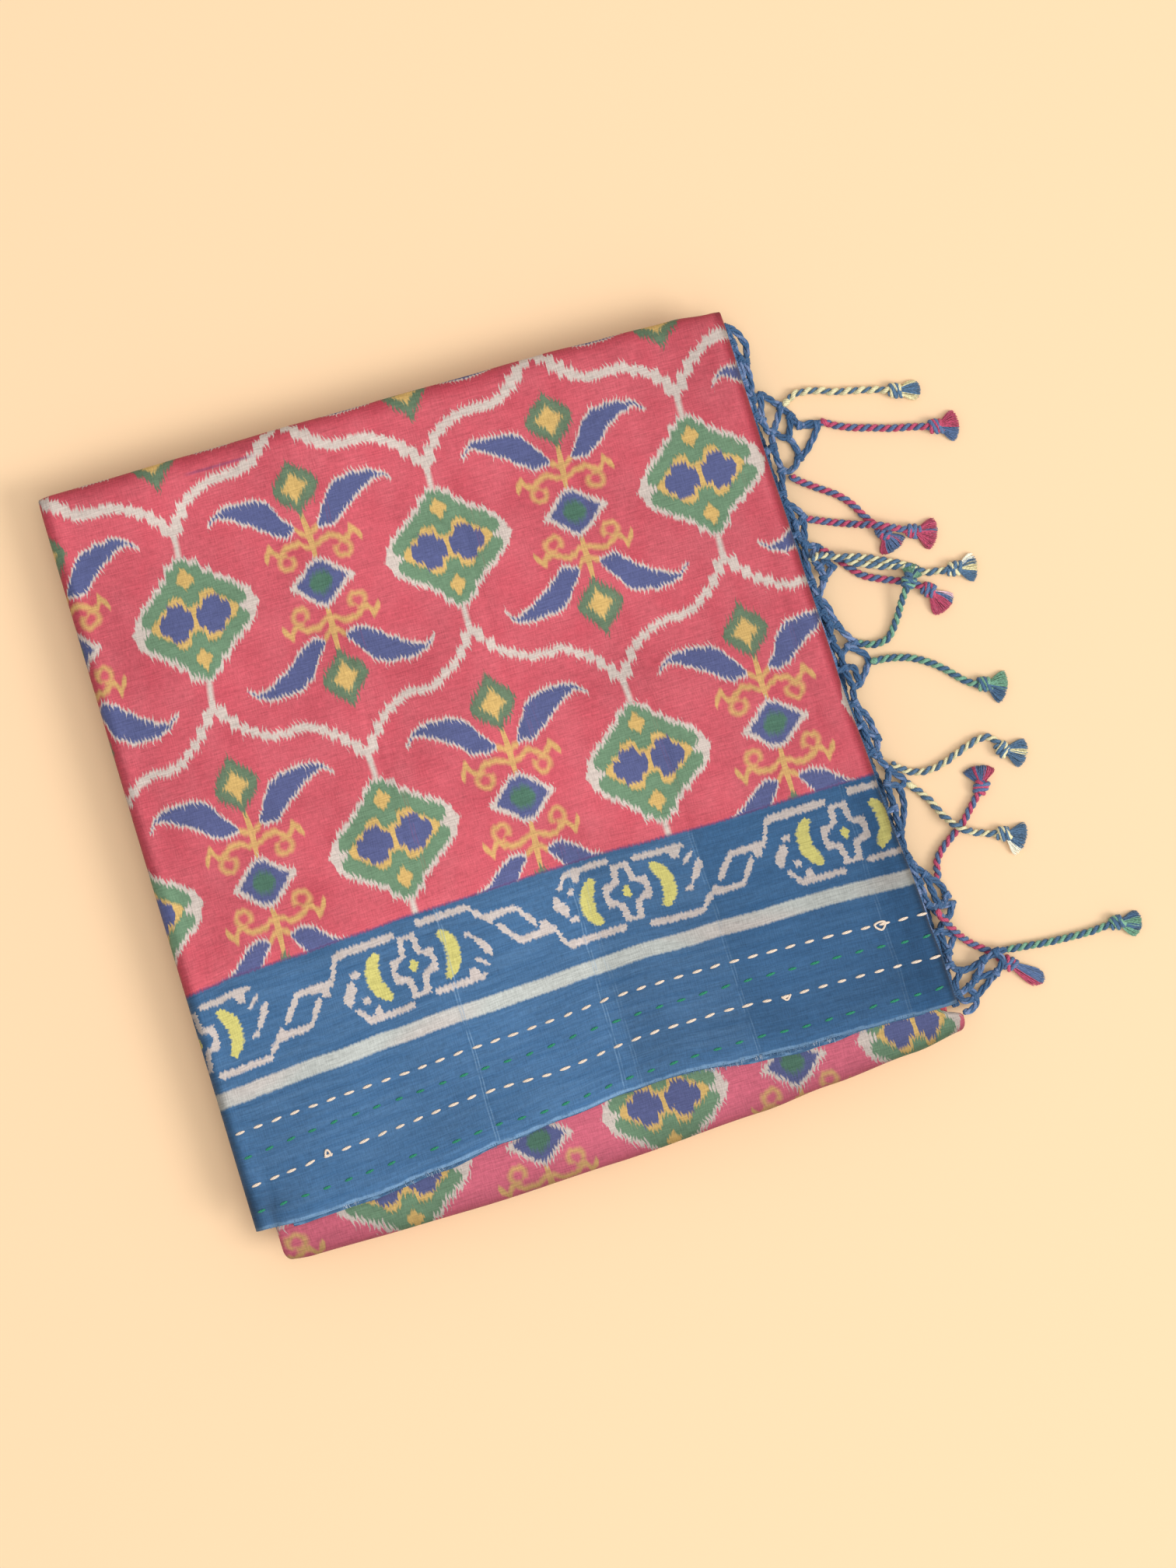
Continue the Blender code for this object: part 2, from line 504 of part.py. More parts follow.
def tassel(number, row, collection, cutters, materials):
    """One twisted cord with its end knot, and the tuft's strands fused to the knot."""
    colour, route, (direction, spread, length) = row
    name = "tassel_%02d" % (number + 1)
    points = [Vector((x, y, under_height(x, y) + CORD_RADIUS + lift)) for x, y, lift in route]
    points[-1].z = max(points[-1].z, KNOT_RADIUS + FLOOR_GAP)
    path = curved(points, 6.5)
    heading = (path[-1] - path[-2]).normalized()
    path = [p for p in path[:-1] if (p - points[-1]).length > 3.6]
    knot = [points[-1] - heading * 2.3, points[-1] - heading * 0.9,
            points[-1] + heading * 0.9, points[-1] + heading * 2.1]
    swell = [1.0] * len(path) + [1.1, KNOT_RADIUS / CORD_RADIUS, KNOT_RADIUS / CORD_RADIUS, 0.9]
    cord = strand(name, path + knot, CORD_RADIUS, cutters, swell, sides=6)
    cutters.objects.unlink(cord)
    collection.objects.link(cord)
    cord.data.materials.append(materials[colour])
    cord.data.shade_smooth()
    cord.data.set_sharp_from_angle(angle=math.radians(60))
    parts = []
    top = points[-1].z
    for k in range(6):
        upper = k >= 4
        share = (k / 3 * 2 - 1) if not upper else (k - 4.5) * 0.8
        angle = math.radians(direction + spread * share)
        reach = length * (0.98 - 0.10 * share * share + 0.04 * math.sin(k * 2.3 + number))
        rest = max(FLOOR_GAP + TUFT_RADIUS, top - KNOT_RADIUS + TUFT_RADIUS)
        tip_z = rest + (1.5 if upper else 0.15)
        way = Vector((math.cos(angle), math.sin(angle), 0))
        start = points[-1] + way * 0.6 + Vector((0, 0, 0.55 if upper else -0.45))
        middle = points[-1] + way * reach * 0.55
        middle.z = tip_z + (0.9 if upper else 0.35)
        tip = points[-1] + way * reach
        tip.z = tip_z
        parts.append(strand("%s_tuft_%d" % (name, k), [start, middle, tip], TUFT_RADIUS,
                            cutters))
    if number == DOUBLED:
        second = [Vector((x, y, under_height(x, y) + CORD_RADIUS + lift))
                  for x, y, lift in SECOND_STRAND]
        parts.append(strand(name + "_second", curved(second, 6.5), CORD_RADIUS, cutters,
                            sides=6))
    return cord, parts


def main():
    for obj in list(bpy.data.objects):
        bpy.data.objects.remove(obj)
    saree = bpy.data.collections.new("folded_saree")
    cutters = bpy.data.collections.new("joining_strands")
    bpy.context.scene.collection.children.link(saree)
    bpy.context.scene.collection.children.link(cutters)
    materials = {name: make_material(name, colour, 0.72) for name, colour in COLOURS.items()}

    folded_block("folded_stack", saree, materials["edge"])
    sheet("top_leaf", steps_with_rolls(4, 14, 4), steps_with_rolls(0, 12, 5), top_leaf_point,
          TOP_WALL, saree, materials["field"])
    sheet("under_selvedge", [k / 20 for k in range(21)], [0.0, 0.5, 1.0], under_selvedge_point,
          UNDER_WALL, saree, materials["border"])
    sheet("mid_fold", steps_with_rolls(3, 14, 3), steps_with_rolls(4, 3, 0), mid_fold_point,
          FOLD_WALL, saree, materials["field"])
    fringe = [fringe_net("fringe_net", saree, cutters, materials["navy"])]
    for number, row in enumerate(CORDS):
        fringe.append(tassel(number, row, saree, cutters, materials))
    for target, parts in fringe:
        fuse(target, parts, cutters)


main()
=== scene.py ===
# %% [markdown]
# # A folded tussar silk saree with a knotted fringe
#
# The saree is one length of silk, 5.5 m long and 1.16 m wide. It is folded in four across its
# width and then over and over along its length, so that it makes a soft pack of about twenty
# leaves. Its end comes out at one side, where the threads are tied into a net and twisted into
# thirteen cords. Each cell below makes one thing and says why it is made that way.

import functools
import math

import bpy
import numpy as np
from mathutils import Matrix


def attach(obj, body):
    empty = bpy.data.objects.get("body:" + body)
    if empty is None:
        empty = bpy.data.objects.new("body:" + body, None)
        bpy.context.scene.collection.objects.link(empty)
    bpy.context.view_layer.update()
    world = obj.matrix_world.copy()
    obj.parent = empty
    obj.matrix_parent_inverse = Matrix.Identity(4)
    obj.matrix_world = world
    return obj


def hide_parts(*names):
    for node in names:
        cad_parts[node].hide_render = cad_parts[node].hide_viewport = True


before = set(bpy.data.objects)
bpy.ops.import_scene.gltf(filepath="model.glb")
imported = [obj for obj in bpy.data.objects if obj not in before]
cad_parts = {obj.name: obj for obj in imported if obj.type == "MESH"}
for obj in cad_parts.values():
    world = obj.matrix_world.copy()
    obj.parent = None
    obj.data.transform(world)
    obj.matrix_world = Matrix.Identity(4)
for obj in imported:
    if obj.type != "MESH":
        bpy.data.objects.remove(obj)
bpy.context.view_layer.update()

# %% [markdown]
# ## Sizes
#
# A pattern cutter writes the sizes down once and works everything out from them. These are in
# millimetres. The tables give the pack's outline, because the real pack isn't square: its
# right side leans and its two near edges are bowed.

# %% Sizes of the pack, in millimetres
MM = 0.001
HEIGHT = 26.4            # top of the pack at its middle
CROWN = 1.5              # fall of the top from the middle to each side
TOP_WALL = 1.3           # room that the top leaf takes
UNDER_WALL = 1.1         # room that the under selvedge takes
FOLD_WALL = 1.2          # room that the mid-fold leaf takes
GAP = 0.4                # clear space between neighbouring pieces
CLOTH = 0.45             # thickness of a shell of cloth
BAND_Y = -96.0           # the near band, where two leaves lie between block and top leaf
BAND_RAMP = 8.0
HIDDEN_END = -121.0      # where the two leaves in that band stop
FAR_Y, DEPTH = 150.0, 290.0      # the far side, and the size from there to the near side
HALF_WIDTH = 140.0
LEAVES = 17              # hidden leaves, below the three that show
LEAF_STEP = HEIGHT / (LEAVES + 3)

LEFT_ROLL = (5.5, 4.2)   # reach and depth of each rolled edge of the top leaf
RIGHT_ROLL = (5.0, 4.2)
FAR_ROLL = (11.0, 5.0)
NEAR_ROLL = (4.5, 3.4)
FOLD_SIDE_ROLL = (3.0, 2.6)
ROLL_END = math.radians(116)

RIGHT_EDGE = ((-150, 141.2), (-120, 140.6), (-100, 139.5), (-48, 136.2), (0, 134.1), (45, 133.1),
              (95, 132.1), (150, 131.6))
NEAR_EDGE = ((-142, -140.8), (-122, -141.8), (-94, -140.9), (-67, -138.4), (-39, -135.7),
             (-11, -133.2), (10, -131.0), (30, -130.4), (58, -132.6), (80, -134.0), (142, -135.7))
MID_EDGE = ((-134, -155.0), (-120, -156.4), (-80, -157.1), (-50, -157.4), (0, -156.3),
            (58, -154.0), (86, -151.8), (120, -149.4), (142, -146.5))


def smooth(edge0, edge1, value):
    """Smooth step: 0 at edge0, 1 at edge1, t * t * (3 - 2 * t) between; either order."""
    t = np.clip((value - edge0) / (edge1 - edge0), 0, 1)
    return t * t * (3 - 2 * t)


def along(table, position):
    """Smooth line through a table of (position, value) rows: a smooth step from row to row."""
    xs, values = np.array(table, float).T
    position = np.asarray(position, float)
    k = np.clip(np.searchsorted(xs, position) - 1, 0, len(xs) - 2)
    return values[k] + (values[k + 1] - values[k]) * smooth(xs[k], xs[k + 1], position)


def down_share(y):
    """Share of the way from the pack's far side to its near side."""
    return (FAR_Y - y) / DEPTH


def left_x(y):
    """The left side, a straight line that leans a little outwards towards the near side."""
    return -139.1 - 1.6 * down_share(y)


def far_y(x):
    """The far fold, a slanting line with a slow wave."""
    return 147.3 - 0.0247 * (x + 4) + 0.5 * np.sin(x / 27)


def top_height(x, y):
    """Height of the top leaf: a parabolic crown with slow waves, a sine by a cosine."""
    crown = CROWN * ((x / HALF_WIDTH) ** 2 + (y / FAR_Y) ** 2)
    return HEIGHT - crown + 0.35 * np.sin(x / 24 + 0.6) * np.cos(y / 33 - 0.4)


print("top at the middle: %.1f mm" % top_height(0, 0))

# %% [markdown]
# ## Meshes from grids
#
# Nearly every piece is a surface: a point in space for each pair of parameters. Whole arrays of
# points are worked out at once, and one function turns such a grid into a mesh. A grid can be
# closed round one way, as for a tube. Each grid can carry cloth coordinates, in metres along and
# across the length of silk, so that the dyed pattern follows the folds as it does on real cloth.

# %% Grid to mesh
collection = bpy.data.collections.new("saree")
bpy.context.scene.collection.children.link(collection)


def grid_faces(rows, columns, round_rows=False, round_columns=False):
    """Four corner numbers for each face between neighbouring rows and columns."""
    index = np.arange(rows * columns).reshape(rows, columns)
    if round_rows:
        index = np.vstack([index, index[:1]])
    if round_columns:
        index = np.hstack([index, index[:, :1]])
    corners = index[:-1, :-1], index[1:, :-1], index[1:, 1:], index[:-1, 1:]
    return np.stack([corner.ravel() for corner in corners], axis=1)


def build_mesh(name, points, faces, cloth=None, values=None):
    """A mesh object from points in millimetres and lists of corner numbers; cloth holds two
    cloth coordinates in metres for each point, and values named numbers for each point."""
    mesh = bpy.data.meshes.new(name)
    mesh.from_pydata(np.asarray(points) * MM, [], faces)
    corners = np.empty(len(mesh.loops), dtype=np.int32)
    mesh.loops.foreach_get("vertex_index", corners)
    if cloth is not None:
        layer = mesh.uv_layers.new(name="cloth")
        layer.data.foreach_set("uv", np.asarray(cloth, np.float32)[corners].ravel())
    for title, numbers in (values or {}).items():
        attribute = mesh.attributes.new(title, "FLOAT", "POINT")
        attribute.data.foreach_set("value", np.asarray(numbers, np.float32).ravel())
    mesh.polygons.foreach_set("use_smooth", np.ones(len(mesh.polygons), bool))
    mesh.update()
    obj = bpy.data.objects.new(name, mesh)
    collection.objects.link(obj)
    return obj


def report(obj):
    """Print the piece's name, its number of faces and its size in millimetres."""
    points = np.empty(len(obj.data.vertices) * 3, np.float32)
    obj.data.vertices.foreach_get("co", points)
    size = np.ptp(points.reshape(-1, 3), axis=0) / MM
    print("%s: %d faces, %.1f x %.1f x %.1f mm" % (obj.name, len(obj.data.polygons), *size))


def cloth_sheet(name, points, cloth):
    """A sheet of cloth from a grid of points, thickened inwards by the cloth's own wall."""
    rows, columns = points.shape[:2]
    faces = grid_faces(rows, columns)
    obj = build_mesh(name, points.reshape(-1, 3), faces, cloth.reshape(-1, 2))
    solid = obj.modifiers.new("cloth thickness", "SOLIDIFY")
    solid.thickness = CLOTH * MM
    solid.offset = -1.0
    report(obj)
    return obj


# %% [markdown]
# ## Arithmetic on a surface
#
# The pattern is a calculation done at every point of the cloth. In Blender such a calculation
# is a net of Math nodes. Writing it as ordinary sums is easier to read, so a small class puts
# in the node for each plus, minus, times and divide.

# %% Numbers that vary over the cloth
class Value:
    """A number that varies over a surface: an output socket of a material's node tree."""

    def __init__(self, socket):
        self.socket = socket

    def __add__(self, other):
        return work("ADD", self, other)

    def __sub__(self, other):
        return work("SUBTRACT", self, other)

    def __mul__(self, other):
        return work("MULTIPLY", self, other)

    def __truediv__(self, other):
        return work("DIVIDE", self, other)

    def __rsub__(self, other):
        return work("SUBTRACT", other, self)

    __radd__, __rmul__ = __add__, __mul__


def feed(entry, socket):
    """Connect a Value or a Dye to a node's input, or set the input to plain numbers."""
    if hasattr(entry, "socket"):
        socket.id_data.links.new(entry.socket, socket)
    else:
        socket.default_value = entry


def work(operation, *inputs, clamp=False):
    """Add one Math node; its inputs are Values or plain numbers."""
    tree = next(entry for entry in inputs if isinstance(entry, Value)).socket.id_data
    node = tree.nodes.new("ShaderNodeMath")
    node.operation, node.use_clamp = operation, clamp
    for entry, socket in zip(inputs, node.inputs):
        feed(entry, socket)
    return Value(node.outputs[0])


def least(*numbers):
    return functools.reduce(functools.partial(work, "MINIMUM"), numbers)


def most(*numbers):
    return functools.reduce(functools.partial(work, "MAXIMUM"), numbers)


def size_of(a):
    return work("ABSOLUTE", a)


def to_and_fro(a, reach):
    """Folds a number line like a ruler: 0 up to reach, back down to 0, and so on."""
    return work("PINGPONG", a, reach)


def blend(a, b, share):
    """a where share is 0, b where it is 1."""
    return a + (b - a) * share


def in_steps(a, step, share):
    """Moves a number towards the middle of its step, as bundles of tied threads do."""
    middle = work("FLOOR", a / step) * step + step / 2
    return blend(a, middle, share)


def inside(depth, soft=1.8):
    """Turns a depth inside a shape into a cover: 0 outside, 1 inside, soft at the edge."""
    return work("MULTIPLY_ADD", depth, 0.5 / soft, 0.5, clamp=True)


def charted(x, rows, column):
    """A chart's column as a straight-edged line over x, made with a Float Curve node."""
    node = x.socket.id_data.nodes.new("ShaderNodeFloatCurve")
    node.mapping.use_clip = False
    node.mapping.extend = "HORIZONTAL"
    points = node.mapping.curves[0].points
    while len(points) < len(rows):
        points.new(0.5, 0.5)
    for point, row in zip(points, rows):
        point.location = (row[0], row[column])
        point.handle_type = "VECTOR"
    node.mapping.update()
    feed(x, node.inputs["Value"])
    return Value(node.outputs[0])


def between(x, y, rows):
    """Depth inside a shape that reaches from a low to a high line, both charted over x."""
    return least(y - charted(x, rows, 1), charted(x, rows, 2) - y)


def below(x, y, rows):
    """Depth below one charted line."""
    return charted(x, rows, 1) - y


def noise(x, y, detail=0.0):
    """Smooth random numbers about 0, mostly within -0.25 to 0.25."""
    tree = x.socket.id_data
    place, node = tree.nodes.new("ShaderNodeCombineXYZ"), tree.nodes.new("ShaderNodeTexNoise")
    feed(x, place.inputs[0])
    feed(y, place.inputs[1])
    node.noise_dimensions = "2D"
    node.inputs["Scale"].default_value = 1.0
    node.inputs["Detail"].default_value = detail
    tree.links.new(place.outputs[0], node.inputs["Vector"])
    return Value(node.outputs[0]) - 0.5


# %% Colours laid over each other
def colour_of(red, green, blue):
    """A colour as one sees it on a screen, 0 to 255, turned into the renderer's own numbers."""
    parts = np.array([red, green, blue]) / 255
    linear = np.where(parts <= 0.04045, parts / 12.92, ((parts + 0.055) / 1.055) ** 2.4)
    return (*(float(part) for part in linear), 1.0)


class Dye:
    """A colour that varies over a surface: an output socket of a material's node tree."""

    def __init__(self, socket):
        self.socket = socket

    def laid(self, colour, cover):
        """This dye with another over it where the cover says, a Dye or a name in DYES."""
        node = self.socket.id_data.nodes.new("ShaderNodeMix")
        node.data_type = "RGBA"
        feed(cover, node.inputs["Factor"])
        feed(self, node.inputs[6])
        feed(colour if isinstance(colour, Dye) else DYES[colour], node.inputs[7])
        return Dye(node.outputs[2])

    def lit(self, factor):
        """The colour times a number, for lighter and darker threads."""
        node = self.socket.id_data.nodes.new("ShaderNodeVectorMath")
        node.operation = "SCALE"
        feed(self, node.inputs[0])
        feed(factor, node.inputs["Scale"])
        return Dye(node.outputs[0])


def even_dye(name, place):
    """A dye by its name, all over the material that the place belongs to."""
    node = place.socket.id_data.nodes.new("ShaderNodeRGB")
    node.outputs[0].default_value = DYES[name]
    return Dye(node.outputs[0])


# %% [markdown]
# ## The dyer's chart
#
# Tussar like this is tied and dyed as threads before it is woven. The dyer works from a chart:
# for each bundle of threads it says from where to where a colour reaches. Each table here is
# such a chart for one colour of one motif, with rows of place, lower end and upper end. The
# unit is one thread of the chart, 0.296 mm. Between two rows the edge runs straight.
#
# A lattice of ogees repeats every 337 threads across and 680 along. Within it everything is
# mirrored, so a quarter of a lozenge and a quarter of a flower are enough.

# %% Charts of the field, in threads
THREAD = 0.296           # millimetres for one thread of the chart
PITCH_X = 168.5          # from a lozenge to the flower beside it
PITCH_Y = 340.0          # from one row of motifs to the next

LOZENGE_WHITE = ((0, 82), (9, 82), (11, 76), (22, 74), (24, 61), (34, 59), (36, 52), (46, 48),
                 (48, 42), (57, 40), (60, 34), (68, 31), (71, 24), (77, 20), (80, 9), (86, 0),
                 (92, -24))
LOZENGE_GREEN = ((0, 77), (9, 75), (11, 68), (20, 66), (23, 54), (33, 50), (36, 44), (45, 39),
                 (48, 35), (56, 31), (59, 27), (67, 21), (69, 17), (71, -7), (76, -24))
LOZENGE_WEDGE = ((0, -3), (54, -3), (59, 1), (68, 7), (74, 12))
SPECTACLES = ((0, 16), (9, 18), (11, 30), (20, 33), (29, 30), (32, 24), (36, 20), (43, 17),
              (46, 12), (52, 9), (57, 3), (61, -8), (66, -26))
PANES = ((0, -12), (2, -3), (4, 12), (12, 13), (14, 23), (34, 23), (36, 13), (44, 12),
         (47, 3), (50, -10), (54, -26))
CROSSLET = ((0, 38, 66), (3, 40, 64), (5, 44, 59), (9, 46, 56), (12, 54, 49), (17, 75, 28))
STEM_WIDTH = 3.4
BUNDLE = 11.5            # threads that are tied together
STEM_TOP = 120.0

JEWEL_WHITE = ((0, 35), (8, 32), (16, 25), (24, 18), (32, 11), (35, 8), (39, 7), (44, 0),
               (46, -8), (52, -26))
JEWEL_BLUE = ((0, 28), (8, 25), (16, 17), (24, 9), (31, 3), (35, -3), (38, -12), (43, -26))
JEWEL_HEART = ((0, 15), (7, 13), (12, 8), (15, 2), (18, -9), (24, -30))
BUD_GREEN = ((0, 88, 167), (4, 95, 160), (10, 101, 153), (20, 109, 144), (26, 116, 136),
             (30, 126, 127), (33, 134, 118), (39, 152, 100))
BUD_YELLOW = ((0, 101, 149), (3, 108, 144), (8, 116, 138), (14, 121, 132), (19, 126, 126),
              (22, 131, 119), (28, 152, 98))
FLOWER_STEM = ((0, 33, 92), (2.6, 33, 92), (4.4, 64, 60), (6, 70, 50))
LEAF = ((8, 100, 48), (12, 82, 66), (15, 68, 80), (20, 66, 87), (27, 65, 97), (33, 65, 107),
        (39, 67, 117), (46, 72, 122), (54, 79, 126), (63, 87, 128), (75, 95, 129),
        (88, 103, 129), (98, 108, 128), (106, 111, 125), (112, 110, 121), (118, 105, 115),
        (122, 102, 109), (125, 108, 100), (130, 126, 82))
LEAF_RIM = 5.0
TENDRIL = ((0, 45, 51), (8, 46, 52), (14, 50, 57), (22, 52, 59), (30, 52, 59), (37, 47, 55),
           (44, 42, 49), (49, 43, 52), (51, 47, 57), (53, 50, 64), (56, 53, 63), (60, 46, 57),
           (64, 40, 52), (67, 49, 40))
BRACT = ((0, 59, 65), (6, 62, 69), (12, 66, 74), (15, 70, 74), (17, 76, 70))
RING = (37.5, 35.0, 9.6, 2.4)    # centre x and y, radius and half the line's width
RING_GAP = (2.0, 6.0)            # it is open beyond these, at the left and upwards

OGEE_RISE = ((0, 0), (18, 0.5), (26, 2.5), (34, 7), (45, 14.5), (52, 19.5), (57, 24), (64, 32),
             (70, 39), (76, 49), (81, 57), (85, 58))
OGEE_HALF = ((0, 6.3), (26, 6.8), (50, 7.8), (62, 9.4), (76, 11.8), (85, 11.2))
OGEE_WIDER = (60.0, 40.0, 2.2)   # above 60 the lines get wider, over 40 threads each way, by 2.2

# %% Charts of the border's frieze, in threads
FRIEZE_PITCH = 290.0     # from one flower to the next, which is the same upside down
FRIEZE_START = -104.0
UPPER_BARS = ((-89, 33, 25), (-85, 26, 33), (-80, 28, 38), (-76, 34, 48), (-70, 41, 51),
              (-64, 40, 51), (-62, 31, 51), (-55, 31, 51), (-53, 42, 51), (-14, 42, 51),
              (-10, 50, 42), (14, 46, 38), (18, 38, 45), (22, 37, 46), (64, 37, 46), (67, 28, 46),
              (76, 27, 46), (80, 38, 46), (86, 38, 45), (90, 44, 38))
CHAIN = ((-99, 12, 2), (-95, 4, 22), (-90, 0, 24), (-87, -6, 20), (-82, -8, 12), (-78, -6, 4),
         (-76, 14, 6), (-74, 17, 26), (-66, 18, 27), (-63, 28, 18), (76, 24, 14), (79, 16, 22),
         (86, 19, 28), (93, 26, 33), (97, 34, 24), (114, -10, -20), (118, -16, -6),
         (124, -14, 2), (130, -4, 8), (138, 4, 18), (142, 10, 20), (169, 10, 20), (171, 0, 20),
         (180, 0, 20), (182, 10, 20), (190, 10, 20))
SEEDS = ((-83, -10, -18), (-80, -17, -9), (-70, -18, -8), (-67, -8, -18), (70, -10, -20),
         (73, -18, -12), (82, -17, -9), (84, -9, -1), (88, -8, 6), (94, -2, 16), (101, 8, 22),
         (105, 24, 8))
VINE = ((-104, -20, -10), (-100, -32, -16), (-95, -44, -30), (-90, -48, -37), (-14, -48, -38),
        (-10, -38, -48), (14, -42, -52), (18, -52, -42), (88, -51, -42), (92, -44, -32),
        (100, -38, -26), (104, -32, -22), (111, -32, -16), (116, -32, -22), (145, -31, -22),
        (152, -24, -12), (158, -16, -2), (166, -6, 6), (170, 8, -6))
BLOSSOM = ((0, -38, 40), (12, -38, 40), (15, -15, 18), (29, -14, 17), (32, 10, -8))
BLOSSOM_HOLLOW = ((0, -32, 33), (4, -31, 32), (7, -12, 13), (11, -10, 11), (17, -7, 9),
                  (22, -2, 5), (26, 6, -4))
BLOSSOM_EYE = ((0, -5, 7), (3, -4, 6), (7, 4, -2))
# the crescents beside a flower: height, inner and outer side
CRESCENT = ((-34, 60, 36), (-31, 45, 45), (-27, 40, 51), (-22, 42, 56), (-12, 46, 61),
            (5, 46, 61), (16, 41, 58), (24, 38, 52), (29, 38, 46), (33, 44, 38), (36, 60, 36))
# the frieze's middle line, from one of its flowers
FRIEZE_LINE = ((-590, -60.5), (-290, -58.0), (0, -56.6), (290, -58.2))
# the pale stripe's middle line, from the frieze's flower, and half its width
STRIPE = ((-590, -137.0), (-511, -135.1), (-440, -132.4), (-351, -132.9), (-250, -134.3),
          (-111, -137.6), (-40, -137.0), (49, -134.2), (95, -131.6), (249, -131.4),
          (289, -132.8), (340, -135.2))
STRIPE_HALF = 9.7
FRIEZE_SOFT = 1.5        # softness of the border's edges, which are sharper than the field's

# colours as one sees them on a screen, 0 to 255
DYES = {name: colour_of(*colour) for name, colour in {
    "pink": (221, 98, 111), "rose": (232, 132, 142), "crimson": (180, 52, 72),
    "raspberry": (224, 113, 137), "white": (218, 203, 194), "green": (116, 149, 119),
    "deep green": (80, 123, 96), "ochre": (223, 185, 114), "violet": (92, 99, 146),
    "purple": (98, 70, 118), "blue": (77, 113, 151), "painted shade blue": (42, 92, 138),
    "navy": (44, 86, 128), "pale blue": (128, 168, 204), "worn blue": (132, 166, 198),
    "lemon": (203, 195, 116), "grey white": (182, 186, 182), "frieze white": (194, 183, 178),
}.items()}
print("charts of the field: lozenge of", len(LOZENGE_WHITE), "rows, leaf of", len(LEAF))

# %% The field's pattern
# its layers in the order they are laid: dye, part of the pattern, how much wider than charted,
# share of the teeth at its edge, softness of the edge and strength of the dye
FIELD_LAYERS = (
    ("ochre", "thin lines", 0.5, 0.0, 2.8, 0.84),
    ("deep green", "bud", 0.6, 1.5, 3.2, 0.9),
    ("green", "bud", -5.0, 1.0, 4.0, 0.35),
    ("ochre", "heart of the bud", -2.4, 1.0, 3.4, 1.0),
    ("white", "white", 0.0, 0.0, 2.2, 1.0),
    ("violet", "leaf", -LEAF_RIM, -0.9, 1.8, 1.0),
    ("green", "lozenge", 0.0, 1.1, 2.2, 1.0),
    ("deep green", "spectacles", 3.0, 0.6, 2.5, 0.45),
    ("ochre", "spectacles", 0.0, 0.6, 2.4, 1.0),
    ("violet", "panes", 0.0, 0.8, 2.2, 1.0),
    ("deep green", "heart of the jewel", 0.0, 0.5, 5.0, 0.9),
)
WHITE_INSET = 0.9        # the white stays this far inside its charts, the stem doesn't


def field_dyes(x, y, ground, spikes):
    """Lay the field's motifs on the ground colour; x and y are in threads.

    The plane is folded to a quarter of a lozenge and its flower. Where a point is beyond the
    ogee line it belongs to the next row, so both of its numbers are turned about the middle.
    """
    fold_x, fold_y = to_and_fro(x, PITCH_X), to_and_fro(y, PITCH_Y)
    off = in_steps(fold_x - PITCH_X / 2, BUNDLE, 0.85)
    line = charted(size_of(off), OGEE_RISE, 1) * work("SIGN", off) + PITCH_Y / 2
    start, soft, wider = OGEE_WIDER
    ogee = charted(size_of(off), OGEE_HALF, 1) - size_of(fold_y - line)
    ogee = ogee + inside(y - start, soft) * wider
    over = work("GREATER_THAN", fold_y, line)
    px, py = blend(fold_x, PITCH_X - fold_x, over), blend(fold_y, PITCH_Y - fold_y, over)
    fx = blend(PITCH_X - fold_x, fold_x, over)
    ring_x, ring_y = fx - RING[0], py - RING[1]
    ring = RING[3] - size_of(work("SQRT", ring_x * ring_x + ring_y * ring_y) - RING[2])
    ring = least(ring, most(ring_x + RING_GAP[0], RING_GAP[1] - ring_y))
    leaf = between(fx, py, LEAF)
    white = most(ogee, below(px, py, LOZENGE_WHITE), below(fx, py, JEWEL_WHITE), leaf)
    stem = least(STEM_WIDTH - px, STEM_TOP - py)
    parts = {
        "thin lines": most(between(fx, py, TENDRIL), between(fx, py, BRACT), ring,
                           between(fx, py, FLOWER_STEM)),
        "bud": between(fx, py, BUD_GREEN),
        "heart of the bud": between(fx, py, BUD_YELLOW),
        "white": most(white + spikes - WHITE_INSET, stem),
        "leaf": leaf,
        "lozenge": least(below(px, py, LOZENGE_GREEN), py - charted(px, LOZENGE_WEDGE, 1)),
        "spectacles": most(below(px, py, SPECTACLES), between(px, py, CROSSLET)),
        "panes": most(below(px, py, PANES), below(fx, py, JEWEL_BLUE)),
        "heart of the jewel": below(fx, py, JEWEL_HEART),
    }
    for dye, name, wider, teeth, soft, strength in FIELD_LAYERS:
        cover = inside(parts[name] + spikes * teeth + wider, soft) * strength
        ground = ground.laid(dye, cover)
    return ground


# %% The border's pattern
def clouds(x, y, contrast, soft, strength, less=0.0, detail=3.0):
    """Cover of random clouds: noise times the contrast, less a number, with soft edges."""
    return inside(noise(x, y, detail) * contrast - less, soft) * strength


